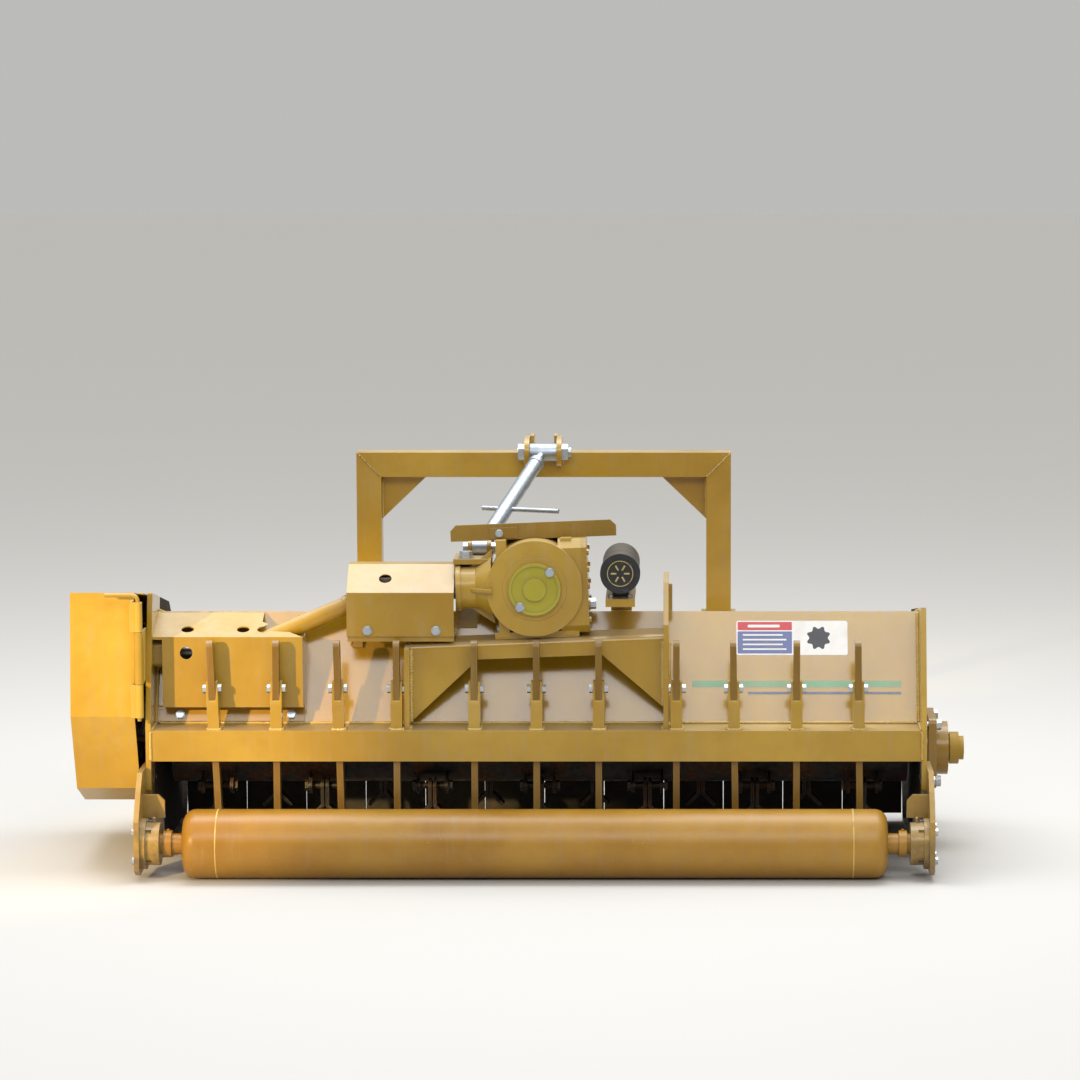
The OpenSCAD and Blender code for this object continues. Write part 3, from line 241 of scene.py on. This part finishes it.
def worn_roller(colour):
    """Paint that soil has rubbed: rings of scuffs round the pipe, brown bare steel and specks."""
    p = Paintbox("roller_enamel")
    deep = tuple(c * k for c, k in zip(colour, (0.74, 0.66, 0.5)))
    cloudy = p.noise(3.5, 5.0, 0.65)
    col = p.mix(p.ramp(cloudy, 0.35, 0.68), deep, colour)
    rings = p.noise(7.0, 7.0, 0.72, vector=p.stretch(10, 1.2, 1.2, 4.0))
    scuff = p.ramp(rings, 0.52, 0.72)
    col = p.mix(p.math("MULTIPLY", scuff, 0.55), col, (0.30, 0.19, 0.075))
    fine = p.noise(26.0, 6.0, 0.75, vector=p.stretch(2.5, 7, 7, 9.0))
    bare = p.math("MULTIPLY", p.ramp(fine, 0.63, 0.7), p.ramp(cloudy, 0.42, 0.6))
    col = p.mix(p.math("MULTIPLY", bare, 0.75), col, (0.16, 0.105, 0.06))
    specks = p.ramp(p.noise(120.0, 4.0, 0.6, seed=2.0), 0.7, 0.74)
    col = p.mix(specks, col, (0.42, 0.33, 0.22))
    rough = p.math("ADD", p.ramp(cloudy, 0.3, 0.7, 0.30, 0.44), p.math("MULTIPLY", bare, 0.25))
    dents = p.noise(9.0, 3.0, 0.5, seed=6.0)
    normal = p.bump(dents, 0.3, 0.004, p.round_edges(0.002))
    normal = p.bump(p.math("ADD", bare, p.noise(240.0, 2.0)), 0.12, -0.0008, normal)
    return p.finish(base_color=col, roughness=rough, normal=normal, specular_ior_level=0.45)


def plated(name, colour, blotch_colour, rough=0.32, grain=60.0, rusty=0.0):
    """Zinc or galvanised steel: faint crystals, blue and straw patches, white bloom."""
    p = Paintbox(name)
    spangle = p.add("ShaderNodeTexVoronoi", {"Vector": p.coords.outputs["Object"], "Scale": grain})
    cloudy = p.noise(35.0, 4.0, 0.6)
    col = p.mix(p.ramp(spangle, 0.1, 0.8, 0, 0.35), colour, blotch_colour)
    col = p.mix(p.ramp(cloudy, 0.5, 0.75, 0, 0.6), col, tuple(c * 0.6 for c in colour))
    rust = p.math("MULTIPLY", p.ramp(p.noise(70.0, 6.0, 0.7, seed=5.0), 0.55, 0.7), rusty)
    col = p.mix(rust, col, RUST)
    metal = p.math("SUBTRACT", 1.0, rust)
    roughness = p.math("ADD", p.ramp(cloudy, 0.3, 0.7, rough, rough + 0.18),
        p.math("MULTIPLY", rust, 0.3))
    normal = p.bump(p.noise(400.0, 2.0), 0.1, 0.0004, p.round_edges(0.0009))
    return p.finish(base_color=col, metallic=metal, roughness=roughness, normal=normal)


def bare_steel(name, colour, rust_share, rough=0.45, seed=0.0, paint_from=None):
    """Working steel: dark mill scale, brown rust and polished edges.

    It is painted gold where X is more than paint_from.
    """
    p = Paintbox(name)
    patches = p.noise(14.0, 7.0, 0.7, seed=seed)
    rust = p.ramp(patches, 0.62 - rust_share * 0.3, 0.72 - rust_share * 0.2)
    col = p.mix(p.ramp(p.noise(60.0, 4.0, 0.6), 0.3, 0.7), colour, tuple(c * 0.55 for c in colour))
    col = p.mix(rust, col, p.mix(p.ramp(p.noise(90.0, 5.0), 0.4, 0.65), RUST, (0.2, 0.095, 0.04)))
    shine = p.edge(0.003, 0.8, 0.97)
    col = p.mix(p.math("MULTIPLY", shine, 0.6), col, (0.42, 0.4, 0.38))
    metal = p.ramp(rust, 0.0, 1.0, 0.95, 0.15)
    if paint_from:
        painted = p.ramp(p.split(p.coords.outputs["Object"], 0), paint_from, paint_from + 0.001)
        col = p.mix(painted, col, DARK_GOLD)
        metal = p.math("MULTIPLY", metal, p.math("SUBTRACT", 1.0, painted))
    normal = p.bump(p.math("ADD", rust, p.noise(260.0, 4.0)), 0.25, 0.0006, p.round_edges(0.001))
    return p.finish(base_color=col, metallic=metal,
        roughness=p.ramp(rust, 0.0, 1.0, rough, 0.85), normal=normal)


def rubber(name, colour, dusty=0.3, ribs=0.0):
    """Black rubber with a fine grain and a dusty film."""
    p = Paintbox(name)
    pale_layer = p.math("MULTIPLY", p.ramp(p.noise(9.0, 6.0, 0.7), 0.42, 0.75), dusty)
    col = p.mix(pale_layer, p.mix(p.noise(30.0, 3.0), colour, tuple(c * 1.8 for c in colour)),
        (0.16, 0.13, 0.1))
    height = p.noise(500.0, 2.0)
    if ribs:
        wave = p.add("ShaderNodeTexWave", {"Vector": p.coords.outputs["Object"], "Scale": ribs})
        height = p.math("ADD", height, wave)
    normal = p.bump(height, 0.2, 0.0005, p.round_edges(0.001))
    return p.finish(base_color=col, roughness=p.ramp(pale_layer, 0, 0.3, 0.55, 0.8), normal=normal)


def moulded_plastic(name, colour):
    """Black moulded plastic with a leathery grain, a little gloss and handling scratches."""
    p = Paintbox(name)
    scratch = p.ramp(p.noise(20.0, 3.0, 0.6, vector=p.stretch(2, 22, 3, 3.0)), 0.62, 0.66)
    col = p.mix(p.math("MULTIPLY", scratch, 0.3), colour, tuple(c * 3 + 0.02 for c in colour))
    col = p.mix(p.math("MULTIPLY", p.ramp(p.facing_up(), 0.3, 1.0), 0.12), col, DUST)
    grain = p.add("ShaderNodeTexVoronoi", {"Vector": p.coords.outputs["Object"], "Scale": 700.0})
    normal = p.bump(grain, 0.08, 0.0004, p.round_edges(0.0012))
    return p.finish(base_color=col, roughness=p.ramp(p.noise(25.0), 0.3, 0.7, 0.3, 0.45),
        normal=normal)


def printed(name, colour, fade=0.25, gloss=0.35):
    """Vinyl sticker: even ink, slightly faded and dusty, with a soft ripple."""
    p = Paintbox(name)
    worn = p.math("MULTIPLY", p.ramp(p.noise(24.0, 5.0, 0.65), 0.45, 0.75), fade)
    col = p.mix(worn, colour, DUST)
    normal = p.bump(p.noise(45.0, 2.0), 0.08, 0.001)
    return p.finish(base_color=col, roughness=p.ramp(worn, 0, fade, gloss, gloss + 0.25),
        normal=normal)


# ---- finishes of the CAD nodes ----

# The rotor's right end is painted from this X on
ROTOR_PAINT_FROM = 960

gold = enamel("gold_enamel", GOLD, gloss=0.24, wear=0.35, pale_layer=0.5, seed=1.0)
# The deck's enamel, with painted shade on the inner faces of the cutting chamber
chamber_gold = enamel("deck_enamel", GOLD, gloss=0.15, wear=0.35, pale_layer=0.5, inside=chamber_side,
    soil_top=0.2, seed=7.0, lacquer=0.55)
guard_gold = enamel("guard_enamel", PALE_GOLD, gloss=0.25, wear=0.35, pale_layer=0.4, seed=14.0)
finger_gold = enamel("finger_enamel", (0.21, 0.115, 0.006), gloss=0.34, wear=0.9, pale_layer=0.35,
    soil_top=0.24, seed=23.0, lacquer=0.1)
# A darker copy of the gold enamel: painted shade on the PTO shield, which faces down and back
shield_gold_painted_shade = enamel("shield_enamel_painted_shade", (0.25, 0.145, 0.007), gloss=0.32, wear=0.4, pale_layer=0.3,
    seed=61.0, lacquer=0.1)
cast_gold = enamel("casting_enamel", (0.385, 0.235, 0.012), gloss=0.33, wear=0.4, pale_layer=0.3,
    seed=31.0)
cap_green = enamel("cap_enamel", (0.37, 0.33, 0.012), gloss=0.28, wear=0.25, pale_layer=0.25,
    seed=37.0)
bearing_gold = enamel("bearing_enamel", DARK_GOLD, gloss=0.34, wear=0.7, pale_layer=0.3,
    soil_top=0.25, seed=43.0)
weld_gold = enamel("weld_enamel", (0.60, 0.42, 0.09), gloss=0.24, wear=0.2, pale_layer=0.35, seed=51.0)
roller_paint = worn_roller((0.38, 0.205, 0.022))
zinc = plated("zinc_plate", (0.46, 0.52, 0.60), (0.6, 0.58, 0.48), rough=0.28)
galvanised = plated("galvanised_steel", (0.36, 0.41, 0.47), (0.5, 0.54, 0.58), rough=0.36,
    grain=90.0)
steel = bare_steel("working_steel", (0.11, 0.10, 0.09), 0.5, seed=3.0)
rotor_steel = bare_steel("rotor_steel", (0.12, 0.11, 0.1), 0.5, seed=5.0,
    paint_from=at(ROTOR_PAINT_FROM, 0, 0).x)
bright_steel = bare_steel("machined_steel", (0.36, 0.35, 0.34), 0.12, rough=0.32, seed=9.0)
shoe_steel = bare_steel("skid_steel", (0.3, 0.28, 0.26), 0.3, seed=15.0)
belt_rubber = rubber("belt_rubber", (0.018, 0.017, 0.017), dusty=0.15, ribs=90.0)
curtain_rubber = rubber("curtain_rubber", (0.016, 0.015, 0.014), dusty=0.5)
black_plastic = moulded_plastic("canister_plastic", (0.012, 0.012, 0.014))

FINISHES = {
    gold: ["rear_beam", "finger_sockets", "gearbox_stand", "hitch_frame", "hitch_plates",
        "gearbox_side_cover", "u_joint_cover", "drive_cover_box", "guard_hinge_fixed",
        "guard_hinge_pin", "drive_shaft"],
    chamber_gold: ["deck_shell", "left_side_plate", "right_side_plate", "front_rail"],
    guard_gold: ["belt_guard"],
    finger_gold: [f"rake_finger_{i}" for i in range(1, 12)],
    shield_gold_painted_shade: ["pto_shield"],
    cast_gold: ["gearbox_casing"],
    cap_green: ["gearbox_rear_cap"],
    bearing_gold: ["roller_bearings", "roller_brackets", "shaft_bearings"],
    roller_paint: ["ground_roller"],
    zinc: ["frame_bolts", "gearbox_hardware", "lower_hitch_pins"],
    galvanised: ["brace_eyes", "brace_barrel", "tommy_bar"],
    rotor_steel: ["rotor"],
    steel: ["idler_arm"] + [f"flail_row_{i}" for i in range(1, 5)],
    bright_steel: ["gearbox_bearings", "input_shaft", "bevel_gear", "bevel_pinion", "output_shaft",
        "jackshaft", "upper_pulley", "lower_pulley", "idler_pulley"],
    shoe_steel: ["skid_shoes"],
    belt_rubber: ["drive_belts"],
    curtain_rubber: ["front_curtain"],
    black_plastic: ["manual_canister", "canister_lid"],
}
for finish, names in FINISHES.items():
    for name in names:
        nodes[name].data.materials.clear()
        nodes[name].data.materials.append(finish)


# ---- welds, labels and small trim ----

def mesh_from(bm, name):
    """A mesh with this name from bm, which is freed."""
    mesh = bpy.data.meshes.new(name)
    bm.to_mesh(mesh)
    bm.free()
    return mesh


def piece(name, mesh, material, body, smooth=True):
    """Puts a finished mesh in the scene, riding on a CAD body."""
    mesh.materials.append(material)
    for face in mesh.polygons:
        face.use_smooth = smooth
    made = bpy.data.objects.new(name, mesh)
    bpy.context.scene.collection.objects.link(made)
    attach(made, body)


def sweep(bm, points, radius_at, sides=8):
    """Closed tube through points. radius_at(distance) gives its radius, in metres."""
    rings = []
    run = 0.0
    for i, here in enumerate(points):
        if i:
            run += (here - points[i - 1]).length
        way = (points[min(i + 1, len(points) - 1)] - points[max(i - 1, 0)]).normalized()
        side = way.orthogonal().normalized()
        other = way.cross(side)
        r = radius_at(run)
        rings.append([bm.verts.new(here + r * (side * math.cos(a) + other * math.sin(a)))
            for a in (math.tau * k / sides for k in range(sides))])
    for low, high in zip(rings, rings[1:]):
        for k in range(sides):
            bm.faces.new((low[k], low[(k + 1) % sides], high[(k + 1) % sides], high[k]))
    bm.faces.new(rings[0][::-1])
    bm.faces.new(rings[-1])


def resampled(corners, step):
    """Points every step along a polyline."""
    points = [corners[0]]
    for a, b in zip(corners, corners[1:]):
        count = max(1, round((b - a).length / step))
        points += [a.lerp(b, k / count) for k in range(1, count + 1)]
    return points


def add_weld(bm, corners, radius, dice):
    """A rippled bead along a polyline in millimetres, with the small wander of a hand weld."""
    pitch = radius * 1.25 * MM
    points = resampled([at(*c) for c in corners], pitch / 4)
    phase = dice.uniform(0, 1)

    def radius_at(run):
        ripple = abs(math.sin(math.pi * (run / pitch + phase))) ** 0.7
        slow = math.sin(run * 41 + phase * 6) + math.sin(run * 97 + phase * 17)
        return radius * MM * (0.62 + 0.38 * ripple + 0.05 * slow)

    jitter = radius * MM * 0.07
    points = [q + Vector([dice.uniform(-jitter, jitter) for _ in range(3)]) for q in points]
    sweep(bm, points, radius_at)


def welds(name, beads, seed, body="frame"):
    """One piece made of several beads, each (radius, [points in millimetres])."""
    dice = random.Random(seed)
    bm = bmesh.new()
    for radius, corners in beads:
        add_weld(bm, corners, radius, dice)
    piece(name, mesh_from(bm, name), weld_gold, body)


deck_half = in_mm(deck_high).x
beam_low, beam_high = (in_mm(c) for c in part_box("rear_beam"))
socket_low, socket_high = (in_mm(c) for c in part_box("finger_sockets"))
# The deck's steep rear sheet in Y and Z, from the beam up to the deck's top edge
SHEET_PEAK_Y = 291
sheet_foot = Vector((beam_high.y - 0.6, beam_high.z))
sheet_peak = Vector((SHEET_PEAK_Y, in_mm(deck_high).z))
sheet_run = (sheet_peak - sheet_foot).normalized()
sheet_out = Vector((-sheet_run.y, sheet_run.x))


def on_sheet(x, up, out=0.0):
    """A place on the rear sheet: up the slope from its foot, and out from its face."""
    spot = sheet_foot + sheet_run * up + sheet_out * out
    return (x, spot.x, spot.y)


sheet_length = (sheet_peak - sheet_foot).length
finger_x = [in_mm(sum(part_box(f"rake_finger_{i}"), Vector()) / 2).x for i in range(1, 12)]

ROOF_FRONT = (556, 562)
deck_beads = []
for side in (-1, 1):
    x = side * (deck_half - 2)
    deck_beads += [
        (5.0, [on_sheet(x, 4, 2), on_sheet(x, sheet_length - 4, 2)]),
        (4.5, [(x, SHEET_PEAK_Y + 5, sheet_peak.y + 0.5), (x, *ROOF_FRONT)]),
        (4.5, [(side * (deck_half + 1), beam_low.y - 0.5, beam_low.z + 4),
            (side * (deck_half + 1), beam_low.y - 0.5, beam_high.z - 4)]),
        (4.0, [(x, beam_low.y + 6, beam_high.z + 1.5),
            (x, beam_high.y - 4, beam_high.z + 1.5)]),
    ]
deck_beads.append((4.0, [on_sheet(-deck_half + 12, 2, 2.0), on_sheet(deck_half - 12, 2, 2.0)]))
welds("deck_welds", deck_beads, seed=3)

SOCKET_HALF = 15.5
foot_beads = []
for x in finger_x:
    left, right = x - SOCKET_HALF, x + SOCKET_HALF
    z = beam_high.z + 1.2
    near, far = socket_low.y - 1.5, socket_high.y + 1.5
    foot_beads.append((4.0, [(left, far, z), (left, near, z), (right, near, z), (right, far, z)]))
welds("socket_welds", foot_beads, seed=5)

# The stand: its side plates and the plate with the window between them, then the foot of the
# canister's leg, both edges of the brace's post, and the foot of the cover's rail
STAND_HALF = 311.3
PLATE_AND_BEAD = 14
WINDOW_PLATE_Y = 153.5
STAND_REAR_Y = 114
beam_top = beam_high.z + 1.5
stand_beads = []
for side, foot, top in ((-1, 360, 538), (1, 400, 560)):
    inner = side * (STAND_HALF - 1.5)
    outer = side * (STAND_HALF + PLATE_AND_BEAD)
    stand_beads += [
        (6.0, [(inner, WINDOW_PLATE_Y, foot), (inner, WINDOW_PLATE_Y, top)]),
        (4.5, [(outer, STAND_REAR_Y, beam_top), (outer, 188, beam_top)]),
        (4.5, [(inner, STAND_REAR_Y, beam_top), (inner, 150, beam_top)]),
        (4.5, [on_sheet(outer, 4, 2), on_sheet(outer, 205, 2)]),
    ]
stand_beads += [
    (3.5, [(181, 322.5, 607.6), (231, 322.5, 607.6)]),
    (4.0, [(-202, 279, 585), (-202, 279, 738)]),
    (4.0, [(-150, 279, 585), (-150, 279, 738)]),
    (3.5, [(-464, 250, 536), (-464, 250, 560)]),
]
welds("stand_welds", stand_beads, seed=7)

# The A-frame: its mitred corners, the gussets under its bar and the lugs for the top link
MAST_TUBE = 63.5
GUSSET_Y = 766.5
LUG_FACES_X = (34, 49.5)
LUG_BEAD_Z = (932, 960)
mast_low, mast_high = (in_mm(c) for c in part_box("hitch_frame"))
mast_beads = []
for side in (-1, 1):
    corner = side * mast_high.x
    inner = side * (mast_high.x - MAST_TUBE)
    for y in (mast_low.y - 0.2, mast_high.y + 0.2):
        mast_beads.append((2.6, [(corner - side * 2, y, mast_high.z - 2),
            (inner + side * 1, y, mast_high.z - 62.5)]))
    under = mast_high.z - 65
    beside = inner - side * 1.5
    mast_beads += [
        (3.5, [(inner - side * 4, GUSSET_Y, under), (inner - side * 112, GUSSET_Y, under)]),
        (3.5, [(beside, GUSSET_Y, mast_high.z - 70), (beside, GUSSET_Y, mast_high.z - 172)]),
    ]
    for x in LUG_FACES_X:
        mast_beads.append((3.2, [(side * x, mast_low.y - 1.5, z) for z in LUG_BEAD_Z]))
welds("mast_welds", mast_beads, seed=9)

# The guard's hinge: two beads along its fixed leaf, and one for each strap on the guard
LEAF_BEADS = ((3.2, -958, 88, 4), (3.0, -963, 73, 3))
STRAP_X = -982
knuckle_low, knuckle_high = (in_mm(c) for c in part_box("guard_hinge_fixed"))
welds("hinge_welds", [(radius, [(x, y, knuckle_low.z + end), (x, y, knuckle_high.z - end)])
    for radius, x, y, end in LEAF_BEADS], seed=11)
welds("guard_welds", [(3.0, [(STRAP_X, 78, 392), (STRAP_X, 84.5, 458)]),
    (3.0, [(STRAP_X, 97, 604), (STRAP_X, 103.2, 661)])], seed=13, body="guard")


def ring(x, radius, z, count=96):
    """A closed circle round the roller's axis line, which is at the height z."""
    angles = [math.tau * k / count for k in range(count + 1)]
    return [(x, radius * math.cos(a), z + radius * math.sin(a)) for a in angles]


SEAM_X = 772
roller_radius = (in_mm(roller_high).z - in_mm(roller_low).z) / 2
seams = [(2.4, ring(side * SEAM_X, roller_radius - 1.3, roller_radius)) for side in (-1, 1)]
welds("roller_seams", seams, seed=15, body="roller")


def flat_shape(name, outline, low, high, material):
    """A thin shape on the rear sheet, from its outline as (X, up the slope)."""
    bm = bmesh.new()
    verts = [[bm.verts.new(at(*on_sheet(x, up, out))) for x, up in outline]
        for out in (low, high)]
    bm.faces.new(verts[1])
    bm.faces.new(verts[0][::-1])
    for k in range(len(outline)):
        n = (k + 1) % len(outline)
        bm.faces.new((verts[0][k], verts[0][n], verts[1][n], verts[1][k]))
    bmesh.ops.recalc_face_normals(bm, faces=bm.faces)
    piece(name, mesh_from(bm, name), material, "frame", smooth=False)


def panel(name, x0, x1, up0, up1, out, material, corner=0.0):
    """A printed panel on the rear sheet, with rounded corners."""
    outline = []
    for cx, cu, start in ((x1, up1, 0), (x0, up1, 90), (x0, up0, 180), (x1, up0, 270)):
        sx = -1 if start in (0, 270) else 1
        su = -1 if start in (0, 90) else 1
        for k in range(5):
            a = math.radians(start + k * 22.5)
            outline.append((cx + corner * (sx + math.cos(a)), cu + corner * (su + math.sin(a))))
    flat_shape(name, outline, 0.05, out, material)


def disc_label(name, x, up, radius, teeth):
    """A plain toothed disc, as a generic sign for the rotor under the deck."""
    outline = []
    for k in range(teeth * 2):
        r = radius if k % 2 else radius * 0.78
        for da in (-0.2, 0.2):
            a = math.tau * (k + da) / (teeth * 2)
            outline.append((x + r * math.cos(a), up + r * math.sin(a)))
    flat_shape(name, outline, 0.1, 0.5, dark_ink)


white_ink = printed("label_white", (0.78, 0.78, 0.76))
red_ink = printed("label_red", (0.55, 0.03, 0.05))
blue_ink = printed("label_blue", (0.10, 0.14, 0.33))
dark_ink = printed("label_dark", (0.02, 0.022, 0.03), fade=0.1)
teal_ink = printed("stripe_teal", (0.20, 0.42, 0.26), fade=0.55)
slate_ink = printed("stripe_slate", (0.13, 0.16, 0.27), fade=0.5)

# The label's edges, left and right in X, and low and high up the slope
LEFT, RIGHT, FOOT, HEAD = 492, 768, 173, 260
FIELD_END = LEFT + 138
panel("label_ground", LEFT, RIGHT, FOOT, HEAD, 0.35, white_ink, corner=5)
panel("label_header", LEFT + 3, FIELD_END, HEAD - 24, HEAD - 3, 0.5, red_ink, corner=2)
panel("label_field", LEFT + 3, FIELD_END, FOOT + 4, HEAD - 27, 0.5, blue_ink, corner=2)
for k in range(4):
    line_end = FIELD_END - 14 - 9 * (k % 2)
    panel(f"label_line_{k + 1}", LEFT + 16, line_end, FOOT + 13 + 12 * k, FOOT + 17 + 12 * k,
        0.62, white_ink)
panel("label_bar", LEFT + 28, FIELD_END - 30, HEAD - 17, HEAD - 10, 0.62, white_ink, corner=3)
panel("stripe_broad", 382, 900, 92, 108, 0.35, teal_ink, corner=3)
panel("stripe_narrow", 520, 900, 74, 80, 0.35, slate_ink, corner=2)
disc_label("label_rotor_sign", FIELD_END + 66, (FOOT + HEAD) / 2, 30, 8)

# A plain raised ring and rays on the canister's lid, with their wire's radius in metres
LID_STEP = 2
EMBLEM_OUT = 0.2
RING_RADIUS = 31
RAY_RADII = (9, 14, 19, 23)
RING_WIRE = 1.1 * MM
RAY_WIRE = 2.2 * MM
lid_low, lid_high = (in_mm(c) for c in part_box("canister_lid"))
lid_x, lid_z = (lid_low.x + lid_high.x) / 2, (lid_low.z + lid_high.z) / 2
emblem_gold = printed("emblem_gold", (0.42, 0.33, 0.10), fade=0.15)


def lid_point(radius, angle):
    """A place just above the lid's flat face, as a point in the scene."""
    return at(lid_x + radius * math.cos(angle), lid_low.y + LID_STEP - EMBLEM_OUT,
        lid_z + radius * math.sin(angle))


bm = bmesh.new()
sweep(bm, [lid_point(RING_RADIUS, math.tau * k / 60) for k in range(61)], lambda run: RING_WIRE)
for k in range(6):
    sweep(bm, [lid_point(r, math.tau * k / 6) for r in RAY_RADII], lambda run: RAY_WIRE)
piece("canister_emblem", mesh_from(bm, "canister_emblem"), emblem_gold, "canister_lid")


# ---- floor, light and camera ----

# Colours of the sky by height, from straight down at 0 to straight up at 1
SKY = ((0.0, (0.20, 0.185, 0.16)), (0.32, (0.30, 0.275, 0.24)), (0.62, (0.66, 0.64, 0.60)),
    (1.0, (0.96, 0.98, 1.0)))
SKY_STRENGTH = 1.35
BACKDROP = (0.37, 0.37, 0.36)
FLOOR_COLOUR = (0.54, 0.535, 0.52)
SUN_COLOUR = (1.0, 0.70, 0.30)
SUN_ANGLE = 11.5
CAMERA_PLACE = (351.85, -10000, 2146.4)
CAMERA_DOWN = 7.5
CAMERA_LENS = 139.4
CAMERA_SHIFT = -0.1296


def matte(name, colour):
    """Plain studio floor with a faint cloudy tint."""
    p = Paintbox(name)
    cloudy = p.ramp(p.noise(1.5, 3.0), 0.3, 0.7, 0, 0.06)
    tint = p.mix(cloudy, colour, tuple(c * 0.9 for c in colour))
    return p.finish(base_color=tint, roughness=0.9)


def make_floor():
    bm = bmesh.new()
    bmesh.ops.create_grid(bm, x_segments=1, y_segments=1, size=30)
    mesh = mesh_from(bm, "floor")
    mesh.materials.append(matte("floor_pale", FLOOR_COLOUR))
    floor = bpy.data.objects.new("floor", mesh)
    bpy.context.scene.collection.objects.link(floor)


def hang(data, place, target):
    """Puts a light in the scene at place, aimed at target, both in metres."""
    lamp = bpy.data.objects.new(data.name, data)
    lamp.location = place
    aim = Vector(target) - Vector(place)
    lamp.rotation_euler = aim.to_track_quat("-Z", "Y").to_euler()
    bpy.context.scene.collection.objects.link(lamp)


def area_light(name, place, target, size, power, colour):
    data = bpy.data.lights.new(name, "AREA")
    data.shape = "RECTANGLE"
    data.size, data.size_y = size
    data.energy = power
    data.color = colour
    hang(data, place, target)


def spot_light(name, place, target, angle, power, colour, soft):
    data = bpy.data.lights.new(name, "SPOT")
    data.energy = power
    data.color = colour
    data.spot_size = math.radians(angle)
    data.spot_blend = 0.8
    data.shadow_soft_size = soft
    hang(data, place, target)


def make_light():
    """A soft sky over a plain backdrop, two large lamps and a warm low sun."""
    world = bpy.data.worlds.new("studio")
    bpy.context.scene.world = world
    world.use_nodes = True
    tree = world.node_tree
    back = tree.nodes["Background"]
    coords = tree.nodes.new("ShaderNodeTexCoord")
    split = tree.nodes.new("ShaderNodeSeparateXYZ")
    ramp = tree.nodes.new("ShaderNodeValToRGB")
    tree.links.new(coords.outputs["Generated"], split.inputs[0])
    tree.links.new(split.outputs[2], ramp.inputs[0])
    stops = ramp.color_ramp.elements
    stops[0].color = (*SKY[0][1], 1)
    stops[1].color = (*SKY[-1][1], 1)
    for place, colour in SKY[1:-1]:
        stops.new(place).color = (*colour, 1)
    show = tree.nodes.new("ShaderNodeLightPath")
    mix = tree.nodes.new("ShaderNodeMix")
    mix.data_type = "RGBA"
    tree.links.new(show.outputs["Is Camera Ray"], mix.inputs["Factor"])
    tree.links.new(ramp.outputs[0], mix.inputs[6])
    mix.inputs[7].default_value = (*BACKDROP, 1)
    tree.links.new(mix.outputs[2], back.inputs[0])
    back.inputs[1].default_value = SKY_STRENGTH
    area_light("overhead", (0, 0.7, 4.4), (0, 0.1, 0.5), (5, 2.2), 210, (0.98, 0.99, 1.0))
    area_light("rear_sky", (0.6, -6.4, 4.6), (0.2, 0, 0.4), (6, 2.0), 200, (0.97, 0.97, 1.0))
    spot_light("low_sun", (-4.2, -5.2, 2.0), (-0.86, -0.1, 0.3), SUN_ANGLE, 2100, SUN_COLOUR,
        0.06)


def make_camera():
    """The photograph's view, from far behind, right of the middle and a little above."""
    data = bpy.data.cameras.new("camera")
    data.sensor_width = 36
    data.lens = CAMERA_LENS
    data.shift_x = CAMERA_SHIFT
    data.clip_end = 100
    camera = bpy.data.objects.new("camera", data)
    camera.location = at(*CAMERA_PLACE)
    camera.rotation_euler = (math.radians(90 - CAMERA_DOWN), 0, 0)
    bpy.context.scene.collection.objects.link(camera)
    bpy.context.scene.camera = camera


make_floor()
make_light()
make_camera()
bpy.context.scene.view_settings.view_transform = "Standard"
